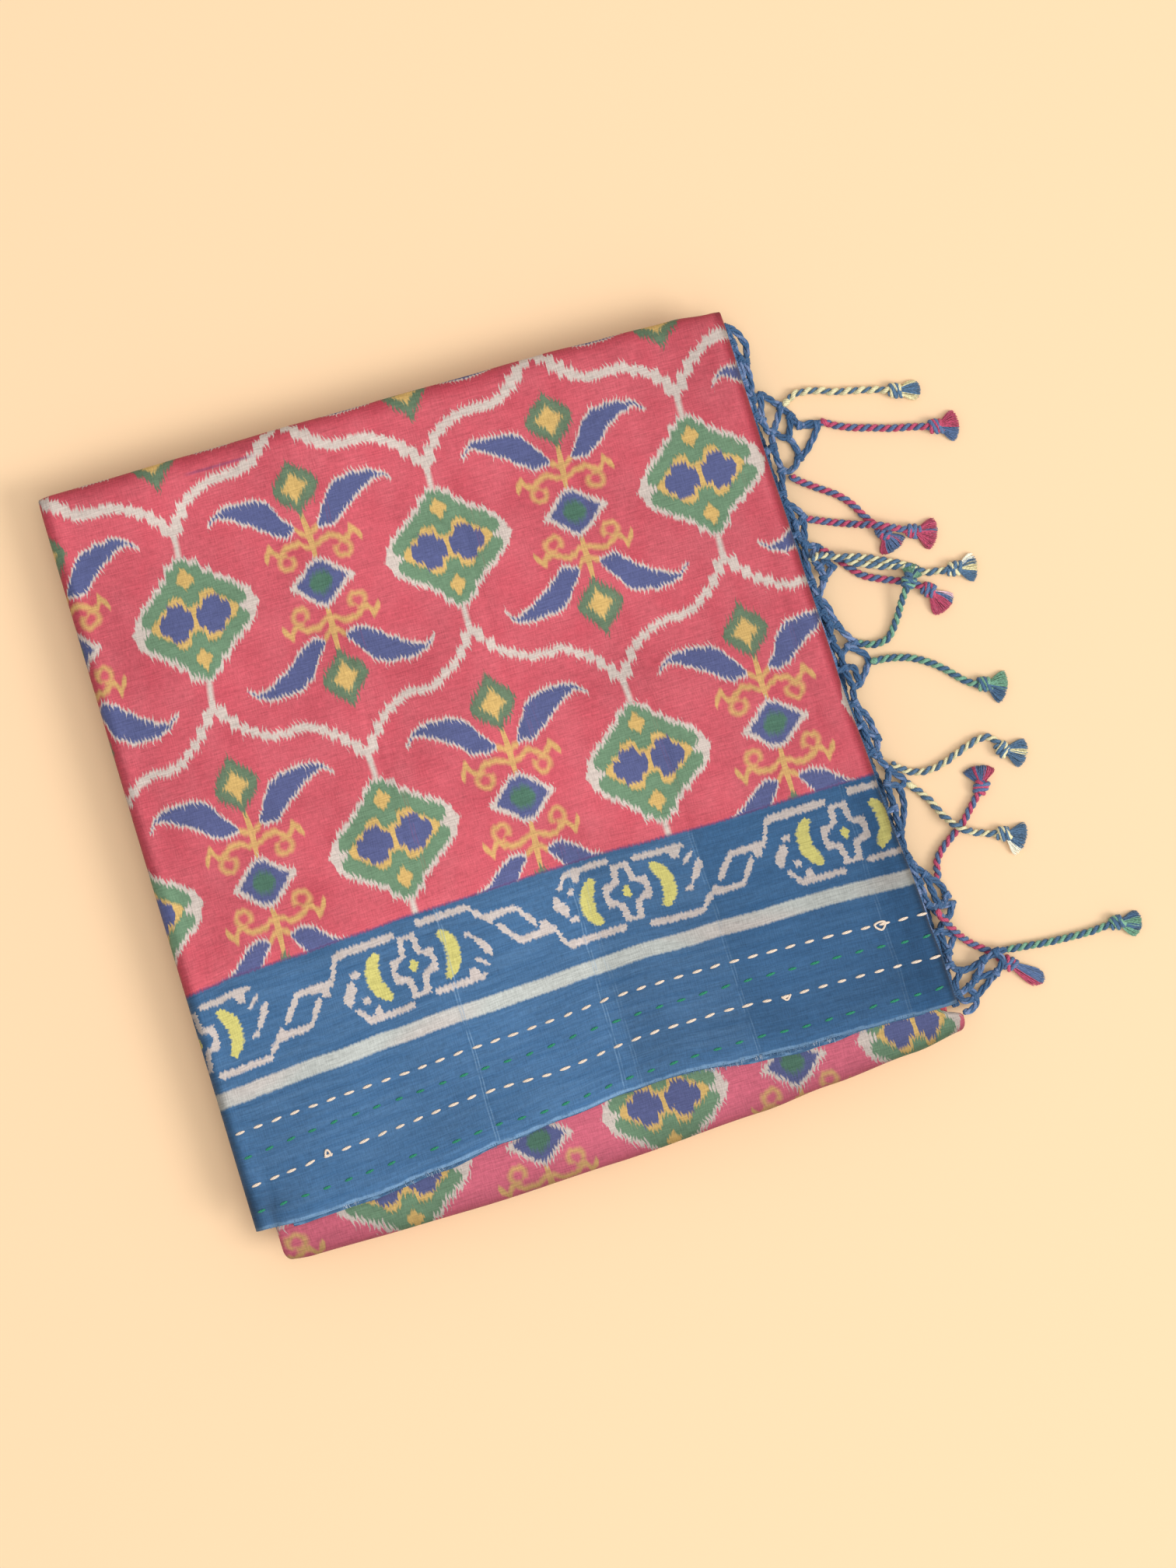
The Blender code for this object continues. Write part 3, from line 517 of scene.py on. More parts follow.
def border_dyes(x, depth, ragged, ground):
    """Lay the frieze and the stripe on the border; depth is measured from the field's end, and
    ragged is how far the threads have slipped, which the stripe shows least."""
    turn = work("FLOOR", (x - FRIEZE_START) / FRIEZE_PITCH)
    odd = work("MODULO", size_of(turn), 2.0)
    px = x - turn * FRIEZE_PITCH
    py = (depth - charted(x, FRIEZE_LINE, 1)) * (1.0 - odd * 2.0)
    across = size_of(px)
    petals = least(between(across, py, BLOSSOM), 0.0 - between(across, py, BLOSSOM_HOLLOW))
    white = most(between(px, py, UPPER_BARS), between(px, py, CHAIN), between(px, py, SEEDS),
                 between(px, py, VINE), petals)
    stripe = STRIPE_HALF - size_of(depth - ragged * 0.6 - charted(x, STRIPE, 1))
    gold = most(between(py, across, CRESCENT), between(across, py, BLOSSOM_EYE))
    pale = even_dye("grey white", x).laid(
        "frieze white", clouds(x / 150.0, depth / 60.0, 40.0, 6.0, 0.7, less=3.0, detail=0.0))
    for dye, shape in (("frieze white", white - 0.6), (pale, stripe), ("lemon", gold + 1.4)):
        ground = ground.laid(dye, inside(shape, FRIEZE_SOFT))
    return ground


print("layers of the field:", len(FIELD_LAYERS))

# %% [markdown]
# ## Silk cloth
#
# Tussar is woven from hand-spun threads of uneven thickness. Its face is a fine plain weave
# with thicker places, called slubs, and a soft sheen rather than a shine. The teeth at the
# edges of the dyed shapes come from the bundles of threads that slip a little against each
# other before weaving, so they run along one set of threads only.

# %% Threads of the cloth
LOZENGE_PLACE = (21.0, 295.0)    # a lozenge's centre, in threads from the pack's middle
BORDER_PLACE = (111.0, -145.3)   # a flower of the frieze, and the line where the border starts
FRIEZE_DRIFT = ((-480, 8), (-390, 8), (-300, 4), (-220, 0))


def threads_of_cloth(tree):
    """Places along and across the cloth in threads, read from the piece's cloth coordinates."""
    node = tree.nodes.new("ShaderNodeUVMap")
    node.uv_map = "cloth"
    parts = tree.nodes.new("ShaderNodeSeparateXYZ")
    tree.links.new(node.outputs[0], parts.inputs[0])
    scale = 1.0 / (THREAD * MM)
    return Value(parts.outputs[0]) * scale, Value(parts.outputs[1]) * scale


def slipped_threads(x, y):
    """Length of the teeth at each place, and how far the threads there have slipped.

    The teeth are a saw line of five threads, squared so that they are thin, times a random
    reach.
    """
    saw = to_and_fro(x + noise(x / 40.0, y / 9.0) * 6.0, 2.4) / 2.4
    comb = saw * saw * 2.0 - 0.7
    reach = noise(x / 3.1 + 11.0, y / 22.0) * 8.0 + 2.3
    slip = noise(x / 5.0, y / 50.0) * 4.0 + noise(x / 11.0 + 7.3, y / 90.0) * 5.0
    return comb * reach, slip


def dyed_field(x, y, teeth, painted_shade_and_dye, deeper="crimson"):
    """The field's dyes, with longer or shorter teeth, and the deeper dye laid over the ground where
    the fourth argument says: painted shade on the top leaf, the fold's own deeper dye on the
    mid-fold.
    """
    spikes, slip = slipped_threads(x, y)
    sway = noise(x / 60.0, y / 60.0 + 3.1) * 6.0
    ground = even_dye("pink", x).laid("crimson", clouds(x / 70.0, y / 45.0, 60.0, 30.0, 0.5))
    ground = ground.laid("rose", clouds(x / 40.0 + 8.0, y / 60.0, 60.0, 20.0, 0.3, less=3.0))
    return field_dyes(x - LOZENGE_PLACE[0] + sway, y - LOZENGE_PLACE[1] + slip,
                      ground.laid(deeper, painted_shade_and_dye), spikes * teeth)


def dyed_border(x, depth, deep):
    """The border's dyes; deep is how much of the deeper blue is laid on its ground there, as
    painted shade.
    """
    ground = even_dye("blue", x).laid("painted shade blue", deep)
    ground = ground.laid("navy", clouds(x / 110.0, depth / 7.0, 40.0, 16.0, 0.8))
    ragged_x = noise(x / 7.0, depth / 3.0 + 5.0) * 5.0 + charted(x, FRIEZE_DRIFT, 1)
    ragged_y = noise(x / 3.0, depth / 14.0) * 5.0
    return border_dyes(x - BORDER_PLACE[0] + ragged_x, depth + ragged_y, ragged_y, ground)


def plain_border(x, y):
    """The second selvedge: the border with pale streaks, and no deeper blue."""
    streaks = clouds(x / 14.0, y / 3.0, 30.0, 4.0, 0.6, less=2.0, detail=2.0)
    return dyed_border(x, y - BORDER_PLACE[1], 0.0).laid("pale blue", streaks)


# dyes that show at the leaves' edges over the pink, and how rare each of them is
EDGE_DYES = (("green", 0.13), ("violet", 0.12), ("white", 0.15), ("ochre", 0.21))


def leaf_edge_dyes(x, y):
    """Edges of the hidden leaves: each shows the motifs that its own fold runs through, and
    the threads along it are lighter and darker by turns."""
    leaf = work("FLOOR", y * (THREAD / LEAF_STEP))
    deeper = clouds(x / 90.0, leaf * 5.1, 40.0, 9.0, 0.8, detail=0.0)
    colour = even_dye("pink", x).laid("crimson", deeper)
    for number, (dye, rare) in enumerate(EDGE_DYES):
        cover = clouds(x / 52.0 + 13.0 * number, leaf * 3.7 + number, 60.0, 1.5, 0.85,
                       less=60.0 * rare, detail=0.0)
        colour = colour.laid(dye, cover)
    ply = to_and_fro(y, 0.55) / 0.55
    return colour.lit(ply * 0.35 + 0.68)


print("dyes at the leaves' edges: pink and", len(EDGE_DYES), "more")

# %% [markdown]
# The pattern above is regular. The real cloth isn't: its motifs have drifted in the dyeing and
# the weaving, its old creases have rubbed pale, and each folded panel gives back its own share
# of the light. These charts say by how much, so that the pattern itself can stay regular. The
# light and shade of the panels, the rolled edges and the creases are painted into the colour.

# %% Drifts, creases and painted shades, in threads
# how far the field's motifs have drifted, to the side and upwards: first row by row, then in
# places, each a pair of charts over x and over y that are multiplied
SIDE_DRIFT = (
    ((-143, 6.5), (-110, 5.5), (-45, 2.5), (125, 3.5), (210, 2.0), (295, 0), (440, -2)),
    ((((-470, 13), (-316, 12), (-232, 8), (-147, 4.5), (-63, 2), (21, 1), (300, 1), (390, 0),
       (440, -5)), ((-143, 1), (150, 1), (240, 0.35), (320, 0))),))
UP_DRIFT = (
    ((440, 0), (470, 7), (500, 9)),
    ((((-470, 7), (-400, 5), (-316, 2), (-200, 0), (-147, -3), (-63, -4), (105, -3.5),
       (190, -1), (274, 0)),
      ((-143, 0.2), (-110, 0.3), (-45, 1), (140, 1), (230, 0.6), (340, 0))),
     (((-430, -2), (-200, -2), (-63, 0), (60, 1), (105, 5), (274, 6), (358, 1), (430, 0)),
      ((230, 0), (295, 0.4), (380, 0.85), (440, 1)))))
# old creases: places at the far and at the near row, half width of each line and how strong,
# rubbed pale on the border and painted crease shade on the field
CREASE_WEAR_AND_SHADE = ((-118.0, -142.0, 0.5, 0.6), (62.0, 36.0, 0.5, 0.5), (70.0, 56.0, 0.4, 0.3),
                (207.0, 213.0, 0.4, 0.4), (410.0, 415.0, 0.4, 0.3))
FAR_ROW, ROWS_APART = 295.0, 745.0
# painted shade: how much deeper the field's red is painted at the left and right rolled sides, and
# at the far fold
PAINTED_EDGE_SHADE = ((-10, 0.55, 0.5), (5, 0.55, 0.55), (9, 0.4, 0.5), (14, 0, 0.4), (26, 0, 0))
FAR_LINE = 501.0
FAR_TUCK_SHADE = (474.0, -272.0, -188.0, 1.4)    # y, x from and to, and half width
# painted shade: how much of the border's blue is painted deeper, more towards the right side
PAINTED_SHADE_BLUE = ((200, 0), (225, 0.4), (400, 0.45), (440, 0.8))
SELVEDGE = -445.5                # the last threads before the near edge, paler than the rest
# painted sheen and shade: where each panel of the folded silk lies, and how bright its field and
# its border are painted, as each panel gives back its own share of the light
PAINTED_PANEL_LIGHT = ((-440, 0.98, 1.20), (-300, 1.0, 1.24), (-150, 1.02, 1.26), (0, 1.03, 1.26),
          (45, 1.03, 1.30), (62, 1.0, 1.08), (150, 1.02, 1.08), (205, 0.99, 1.06),
          (220, 0.99, 0.98), (300, 0.96, 0.97), (395, 0.92, 0.95), (412, 0.92, 0.84))
# painted shade of the rolled sides: how bright they are painted at places in from the left side,
# and in from the right side
LEFT_SHADE = ((-12, 0.66, 0.45), (0, 0.76, 0.50), (5, 0.86, 0.54), (8, 0.86, 0.60),
              (11, 0.82, 0.76), (15, 0.99, 1.02), (20, 1.10, 1.07), (26, 1.10, 1.05), (42, 1, 1))
RIGHT_SHADE = ((-12, 0.54, 0.42), (0, 0.60, 0.48), (5, 0.70, 0.58), (8, 0.86, 0.73),
               (11, 0.97, 0.80), (15, 1.04, 0.88), (20, 1.02, 0.85), (32, 0.98, 0.83),
               (42, 1.0, 0.96), (60, 1, 1))
# painted light and shade added to them from the near side to the far side, darkest where the far
# fold rolls away
PAINTED_ROW_LIGHT = ((-480, 0.14), (-440, 0.11), (-425, 0.0), (-400, -0.07), (-380, 0.0), (400, 0.0),
          (440, 0.03), (466, 0.02), (482, 0.0), (498, -0.1), (516, -0.28))
LEFT_LINE = tuple((y / THREAD, left_x(y) / THREAD) for y in (-150, 150))
RIGHT_LINE = tuple((y / THREAD, x / THREAD) for y, x in RIGHT_EDGE)

# the mid-fold: where a lozenge's centre lies on it and on the chart, in millimetres, and how
# much shorter the chart is, because the silk is pulled a little longer there
FOLD_SHIFT, CHART_PLACE, FOLD_STRETCH = (22.7, -139.1), (6.2, 87.3), 0.97


def fold_chart(x, y):
    """Places on the chart, in millimetres, of places on the mid-fold."""
    return ((x - FOLD_SHIFT[0]) * FOLD_STRETCH + CHART_PLACE[0],
            y - FOLD_SHIFT[1] + CHART_PLACE[1])


# the mid-fold's edge on the chart, and how bright the silk is painted at each depth from there,
# as painted shade where the fold rolls under
FOLD_EDGE = tuple((x / THREAD, y / THREAD) for x, y in (fold_chart(*row) for row in MID_EDGE))
FOLD_SHADE_DEPTHS = ((-20, 0.40), (2, 0.46), (8, 0.60), (18, 0.74), (34, 0.87), (70, 0.92), (95, 0.90))
print("panels:", len(PAINTED_PANEL_LIGHT), "old creases:", len(CREASE_WEAR_AND_SHADE))

# %% Colours, painted sheen and painted shade of the top leaf
def drift(x, y, rows, places):
    """Sum of a chart over y and of products of a chart over x and one over y."""
    total = charted(y, rows, 1)
    for over_x, over_y in places:
        total = charted(x, over_x, 1) * charted(y, over_y, 1) + total
    return total


def crease_wear_and_shade(x, y):
    """Cover of the old creases: pairs of fine lines; on the border the dye has rubbed off along
    them, on the field they carry painted crease shade.
    """
    pairs = []
    for far, near, width, strength in CREASE_WEAR_AND_SHADE:
        line = (y - FAR_ROW) * ((far - near) / ROWS_APART) + far
        line = line + noise(y / 60.0, x / 400.0 + far) * 5.0
        pairs.append(inside(width - size_of(size_of(x - line) - 1.9), 0.8) * strength)
    return most(*pairs) * inside(noise(x / 5.0, y / 26.0, 2.0) * 20.0 + 1.2, 1.6)


def from_sides(x, y):
    """How far a place is from the left side and from the right side of the pack."""
    return x - charted(y, LEFT_LINE, 1), charted(y, RIGHT_LINE, 1) - x


def field_and_border(x, y):
    """The field above the border's line and the border below it, with a dark line between.
    Painted shade deepens the field's red at the rolled sides and at the far fold, darkens the field
    along its old creases and in the tuck beside the far fold, and deepens the border's blue towards
    its right side; on the border the old creases are rubbed pale.
    """
    depth = y - BORDER_PLACE[1]
    edge = noise(x / 3.0, y / 9.0) * 3.0 - depth
    worn, (left, right) = crease_wear_and_shade(x, y), from_sides(x, y)
    # painted shade: crimson laid deeper at the rolled sides and at the far fold
    painted_shade_and_dye = most(charted(left, PAINTED_EDGE_SHADE, 1), charted(right, PAINTED_EDGE_SHADE, 1),
                 charted(FAR_LINE - y, PAINTED_EDGE_SHADE, 2))
    colour = dyed_field(x + drift(x, y, *SIDE_DRIFT), y + drift(x, y, *UP_DRIFT), 1.2, painted_shade_and_dye)
    # crimson laid along the old creases is painted crease shade
    colour = colour.laid("purple", inside(edge + 2.5, 1.6) * 0.8).laid("crimson", worn * 0.35)
    # painted shade: purple laid along the tuck beside the far fold
    tuck_y, start, end, half = FAR_TUCK_SHADE
    tuck = least(half - size_of(y - tuck_y), least(x - start, end - x) * 0.1)
    colour = colour.laid("purple", inside(tuck, 0.8) * 0.45)
    rim = inside(noise(x / 18.0, y / 60.0, 1.0) * 4.0 + SELVEDGE - y, 1.0) * 0.55
    # the deeper blue over the border's right part is painted shade; worn lines and rim are rubbed
    # pale
    border = dyed_border(x, depth, charted(x, PAINTED_SHADE_BLUE, 1)).laid("worn blue", most(worn, rim))
    return colour.laid(border, inside(edge, 1.2))


def top_painted_light(x, y):
    """Painted light of the top leaf, a factor on its colour: painted sheen and shade charted across
    its panels and in from both its rolled sides, once for the field and once for the border,
    painted shade in the near left corner's folds, and painted light and shade row by row, darkest
    at the far fold."""
    share = inside(BORDER_PLACE[1] - y, 30.0)
    left, right = from_sides(x, y)
    shades = ((x, PAINTED_PANEL_LIGHT), (left, LEFT_SHADE), (right, RIGHT_SHADE))
    panel, from_left, from_right = (
        blend(charted(place, table, 1), charted(place, table, 2), share)
        for place, table in shades)
    # painted shade in the near left corner's folds, laid on as less light
    corner = inside(-412.0 - x, 25.0) * inside(-405.0 - y, 15.0)
    tuck = least(inside(5.0 - size_of(x + 445.0), 4.0), inside(-420.0 - y, 8.0))
    folds = 1.0 - corner * 0.3 - tuck * 0.2
    return panel * from_left * from_right * folds + charted(y, PAINTED_ROW_LIGHT, 1)


def fold_dyes(x, y):
    """The field's dyes on the mid-fold, with longer teeth and a deeper ground."""
    return dyed_field(x, y, 1.8, 0.8, "raspberry")


def fold_painted_shade(x, y):
    """Painted shade of the mid-fold, a factor on its colour by the depth from its edge, darker
    where it rolls under.
    """
    return charted(y - charted(x, FOLD_EDGE, 1), FOLD_SHADE_DEPTHS, 1)


# %% Finish of the cloth
RELIEF = 0.0002          # height of the finest relief, in metres
CLOTH_LIGHT = 0.90       # how light the threads are on the whole
SILK_FINISH = {"Roughness": 0.55, "Specular IOR Level": 0.14, "Sheen Weight": 0.05,
               "Sheen Roughness": 0.4}


def new_material(name, finish):
    """A material, its node tree and its shader, with a number for each input that is named."""
    material = bpy.data.materials.new(name)
    material.use_nodes = True
    shader = material.node_tree.nodes["Principled BSDF"]
    for title, value in finish.items():
        shader.inputs[title].default_value = value
    return material, material.node_tree, shader


def add_relief(tree, shader, height, strength):
    """Give the shader fine bumps of a height that varies over the surface."""
    bump = tree.nodes.new("ShaderNodeBump")
    bump.inputs["Strength"].default_value = strength
    bump.inputs["Distance"].default_value = RELIEF
    feed(height, bump.inputs["Height"])
    tree.links.new(bump.outputs[0], shader.inputs["Normal"])


def silk(name, dyes, painted_light=None):
    """A material of woven silk; dyes(x, y) gives its colour for places in threads, and the second
    function, if given, its painted sheen and shade: how much lighter or darker the colour is
    painted where a folded panel gives back more or less light."""
    material, tree, shader = new_material(name, SILK_FINISH)
    x, y = threads_of_cloth(tree)
    warp, weft = noise(x / 1.5, y / 10.0 + 2.0), noise(x / 12.0 + 4.0, y / 1.5)
    slub = noise(x / 55.0 + 9.0, y / 2.2, 1.0)
    patch = noise(x / 120.0, y / 120.0 + 6.0, 2.0)
    light = warp * 0.25 + weft * 0.25 + slub * 0.27 + patch * 0.32 + CLOTH_LIGHT
    # painted sheen and shade, multiplied into the colour
    if painted_light:
        light = light * painted_light(x, y)
    feed(dyes(x, y).lit(light), shader.inputs["Base Color"])
    add_relief(tree, shader, warp + weft + slub * 0.8, 0.35)
    print("material", name, "has", len(tree.nodes), "nodes")
    return material


saree_silk = silk("ikat silk", field_and_border, top_painted_light)
fold_silk = silk("ikat silk of the mid-fold", fold_dyes, fold_painted_shade)
selvedge_silk = silk("border silk", plain_border)
edge_silk = silk("edges of the leaves", leaf_edge_dyes)

# %% [markdown]
# ## Thread
#
# The fringe is tied from the silk's own navy threads, with coloured ones laid in. Up close a
# ply is a bundle of fine fibres that run round it at a slant. Each tube carries four numbers:
# how far along and how far round a place is, its kind, 0 for navy and 1 for the colour, and its
# tone, because no two plies took the dye alike.

# %% Finish of the threads
THREAD_FINISH = {"Roughness": 0.55, "Specular IOR Level": 0.35, "Sheen Weight": 0.15}
FIBRE_SLANT = 0.9        # turns of a fibre round its ply in each millimetre

DYES.update({name: colour_of(*colour) for name, colour in {
    "net navy": (58, 100, 144), "cord navy": (84, 126, 170), "haze": (140, 156, 196),
    "cord pink": (199, 78, 113), "pink's navy": (92, 120, 164),
    "cord green": (124, 176, 148), "green's navy": (72, 110, 146),
    "cord yellow": (238, 229, 182), "yellow's navy": (88, 124, 158),
    "pale end": (214, 216, 220), "cream": (248, 226, 204), "stitch green": (30, 142, 104),
    "row blue": (96, 138, 176),
}.items()})


def spun_thread(name, first, second, fibres=5.0, pale=None, pale_from=0.9):
    """A material of thread in a dye for kind 0 and one for kind 1, pale where its tone is high.
    Its fibres are a sine of the place round and along the ply."""
    material, tree, shader = new_material(name, THREAD_FINISH)
    carried = []
    for title in ("run", "turn", "kind", "tone"):
        node = tree.nodes.new("ShaderNodeAttribute")
        node.attribute_name = title
        carried.append(Value(node.outputs["Fac"]))
    run, turn, kind, tone = carried
    fibre = work("SINE", (turn * fibres + run * FIBRE_SLANT) * (2 * math.pi))
    fuzz = noise(run * 2.1, turn * 9.0, 2.0)
    colour = even_dye(first, run).laid(second, inside(kind - 0.5 + fuzz * 0.5, 0.1))
    if pale:
        ends = tone - pale_from + noise(run / 3.0, turn * 2.0) * 0.7
        colour = colour.laid(pale, inside(ends, 0.1) * 0.6)
    light = tone * 0.8 + fibre * 0.16 + fuzz * 0.7 + 0.55
    feed(colour.lit(light), shader.inputs["Base Color"])
    add_relief(tree, shader, fibre * 0.5 + fuzz, 0.5)
    return material


net_thread = spun_thread("navy thread", "net navy", "cord navy", pale="haze", pale_from=0.62)
cord_threads = {colour: spun_thread(colour + " and navy thread", colour + "'s navy",
                                    "cord " + colour, pale="pale end")
                for colour in ("pink", "green", "yellow")}
cream_thread = spun_thread("cream thread", "cream", "cream", fibres=4.0)
green_thread = spun_thread("green thread", "stitch green", "stitch green", fibres=4.0)
print("materials:", len(bpy.data.materials), "dyes:", len(DYES))

# %% [markdown]
# ## Rolled edges
#
# Folded silk doesn't crease to a sharp line under its own weight, it rolls over. A rolled edge
# is part of an ellipse: the cloth goes out by the reach and down by the depth. At a corner two
# rolls meet, and their reach and depth are mixed by direction.

# %% Rolled edges
def roll_step(value):
    """How far round a roll a grid position is: below 0 on the first roll, above 1 on the last."""
    return np.where(value < 0, value, np.maximum(0, value - 1))


def roll_offset(sx, sy, rolls, square=0.0):
    """Offset of a rolled edge from the flat rim; square, from 0 to 1, fills out the corners.

    The turn is the larger of the two steps. The offset is reach * sine of the turned angle
    sideways and depth * (1 - cosine) down, with the depths mixed by the direction squared.
    """
    turn = np.maximum(np.abs(sx), np.abs(sy))
    length = np.maximum(np.hypot(sx, sy), 1e-9)
    side_x, side_y = sx / length, sy / length
    reach_x = np.where(sx > 0, rolls[1][0], rolls[0][0])
    reach_y = np.where(sy > 0, rolls[3][0], rolls[2][0])
    depth_x = np.where(sx > 0, rolls[1][1], rolls[0][1])
    depth_y = np.where(sy > 0, rolls[3][1], rolls[2][1])
    fill = np.maximum(np.maximum(np.abs(side_x), np.abs(side_y)), 0.7) ** square
    angle = turn * ROLL_END
    depth = depth_x * side_x ** 2 + depth_y * side_y ** 2
    swing = np.sin(angle) / fill
    return np.stack([reach_x * side_x * swing, reach_y * side_y * swing,
                     -depth * (1 - np.cos(angle))], axis=-1)


def grid_steps(first_roll, flat, last_roll):
    """Grid positions: -1..0 on the first roll, 0..1 over the flat cloth, 1..2 on the last."""
    parts = [np.linspace(0, 1, flat + 1)]
    if first_roll:
        parts.insert(0, np.linspace(-1, 0, first_roll, endpoint=False))
    if last_roll:
        parts.append(np.linspace(1, 2, last_roll + 1)[1:])
    return np.concatenate(parts)


print("steps over the top leaf:", len(grid_steps(8, 200, 8)))

# %% [markdown]
# ## Creases
#
# The saree has been folded more than once, and each old fold left a soft trough right across
# the pack. A crease is a line from the far side to the near side, and the cloth sinks along it
# by a bell curve, a little unevenly. Beside it the cloth stands up a hair. Some creases are
# ridges, folded the other way.

# %% Creases of the top leaf
CREASES = (
    # x at the far side, x at the near side, depth, width
    (-43.0, -42.4, 0.50, 1.5),
    (-40.6, -40.2, -0.22, 1.1),
    (14.6, 9.2, 0.42, 1.5),
    (17.4, 12.0, -0.20, 1.1),
    (61.0, 62.8, 0.45, 1.5),
    (64.2, 65.4, -0.18, 1.2),
    (121.2, 122.8, 0.38, 1.4),
    (-96.0, -97.5, 0.12, 2.4),
    (92.0, 90.5, 0.10, 2.6),
)


def crease_depth(x, y):
    """Sum of bell curves across each crease line, -depth * exp(-(distance / width) ** 2), and
    across two short tucks, one beside the far fold and one in the near left corner."""
    total = np.zeros_like(x)
    tuck = y - 138.2 + 0.02 * x
    total -= 0.45 * np.exp(-(tuck / 0.8) ** 2) * smooth(-84, -76, x) * smooth(-40, -48, x)
    total -= 0.55 * np.exp(-((x + 131.0) / 1.5) ** 2) * smooth(-112, -127, y)
    for number, (far, near, depth, width) in enumerate(CREASES):
        line = far + (near - far) * down_share(y) + 0.5 * np.sin(y / 31 + number * 1.9)
        uneven = 0.75 + 0.35 * np.sin(y / 23 + number * 2.3)
        total -= depth * uneven * np.exp(-((x - line) / width) ** 2)
    return total


def soft_waves(x, y):
    """Low hollows and rises between the creases, products of sines a fraction of a mm high."""
    return (0.16 * np.sin(x / 11.0 + 1.3 * np.sin(y / 37)) * np.sin(y / 19 + 0.8)
            + 0.10 * np.sin(x / 6.1 - y / 13.0) * np.cos(y / 8.3 + x / 29))


print("deepest crease: %.2f mm" % -crease_depth(np.linspace(-140, 140, 900), 0.0).min())

# %% [markdown]
# ## The top leaf
#
# This is the part that one sees: the pink field with its dyed trellis, and the blue border
# down to the selvedge. It is made as a shell of cloth on the CAD wall's own form. The same
# two parameters run over the flat and round the rolls at the left, right and far sides.

# %% The top leaf's surface
FAR_EDGE = ((-142, 151.0), (-100, 150.4), (-49, 149.8), (-4, 148.9), (49, 147.9), (67, 147.6),
            (93, 146.4), (120, 145.4), (136, 143.7))
ROLL_ARC = ROLL_END * 0.5        # length of a roll's arc, for each unit of reach plus depth


def top_leaf_grid(columns, rows):
    """Points over the top leaf, and cloth lengths along and across it.

    Between the rims, x and y are straight mixes of the rims' places. Beyond them the roll's
    offset is added, and the cloth length goes on by the roll's own length of arc.
    """
    u, v = np.meshgrid(columns, rows, indexing="ij")
    s, t = np.clip(u, 0, 1), np.clip(v, 0, 1)
    x = -135 + 270 * s       # near enough to read the near and far edges, which are almost level
    near, far = along(NEAR_EDGE, x), along(FAR_EDGE, x) - FAR_ROLL[0]
    y = near + (far - near) * t
    left, right = left_x(y) + LEFT_ROLL[0], along(RIGHT_EDGE, y) - RIGHT_ROLL[0]
    x = left + (right - left) * s
    turn_x, turn_y = roll_step(u), roll_step(v)
    fade = 1 - np.maximum(np.abs(turn_x), np.abs(turn_y))
    z = top_height(x, y) + (crease_depth(x, y) + soft_waves(x, y)) * fade
    offset = roll_offset(turn_x, turn_y, (LEFT_ROLL, RIGHT_ROLL, FAR_ROLL, FAR_ROLL), square=0.85)
    cloth_x = x + turn_x * ROLL_ARC * np.where(turn_x < 0, sum(LEFT_ROLL), sum(RIGHT_ROLL))
    return (np.stack([x, y, z], axis=-1) + offset, cloth_x,
            y + turn_y * ROLL_ARC * sum(FAR_ROLL))


# %% The pattern's place on the top leaf
# where the pink field ends and the blue border begins: it bows as the near edge does
BORDER_LINE = ((-142, -48.2), (-130, -46.9), (-121, -45.6), (-95, -45.0), (-68, -43.8),
               (-50, -42.9), (-24, -42.6), (3, -41.9), (30, -41.7), (47, -42.5), (74, -43.2),
               (101, -42.9), (127, -42.9), (142, -43.1))
STRAIGHT_LINE = -43.0    # the same line on the chart, where it is straight
BORDER_WIDTH = 90.0      # from the field's end to the selvedge
ROW_Y = -12.4            # the lowest row of motifs, which lies straight
FAR_SLOPE = 0.0180       # slope of the far rows of motifs


def chart_place(x, y):
    """Cloth coordinates of a place on the top leaf.

    Over the border they are measured from the border's own line and scaled so that the
    selvedge is at the border's full width. Over the field the bow dies out towards the lowest
    row of motifs, and the far rows follow the slope of the far fold.
    """
    line, edge = along(BORDER_LINE, x), along(NEAR_EDGE, x)
    border = STRAIGHT_LINE - (line - y) * BORDER_WIDTH / (line - edge)
    bowed = ROW_Y + (y - ROW_Y) * (STRAIGHT_LINE - ROW_Y) / (line - ROW_Y)
    field = y + FAR_SLOPE * (x - 6.0) * smooth(ROW_Y, 87.0, y)
    across = np.where(y < line, border, np.where(y < ROW_Y, bowed, field))
    return np.stack([x, across], axis=-1) * MM


points, cloth_x, cloth_y = top_leaf_grid(grid_steps(9, 205, 9), grid_steps(0, 150, 11))
top_leaf = cloth_sheet("saree_top_leaf", points, chart_place(cloth_x, cloth_y))
top_leaf.data.materials.append(saree_silk)
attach(top_leaf, "root")
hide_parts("top_leaf")

# %% [markdown]
# ## The second selvedge
#
# Folded in four, the silk has both its selvedges at the near side. The second lies under the
# first and shows as a thin, lighter line where it isn't quite in step.

# %% Second selvedge
def under_selvedge_grid(columns, rows):
    """Points of the second selvedge: its near edge peeps out under the top leaf's edge."""
    u, v = np.meshgrid(columns, rows, indexing="ij")
    x = -126 + 254 * u
    peep = 0.5 + 1.7 * smooth(45, 62, x) * smooth(105, 88, x) + 0.9 * smooth(-40, -62, x)
    edge = along(NEAR_EDGE, x) - peep + 0.18 * np.sin(x / 2.9) * np.sin(x / 17)
    y = edge + (HIDDEN_END - edge) * v
    z = top_height(x, y) - TOP_WALL - GAP - 0.10 * (1 - np.cos(x / 9)) * (1 - v)
    return np.stack([x, y, z], axis=-1), np.stack([x, edge - y - 133.0], axis=-1) * MM


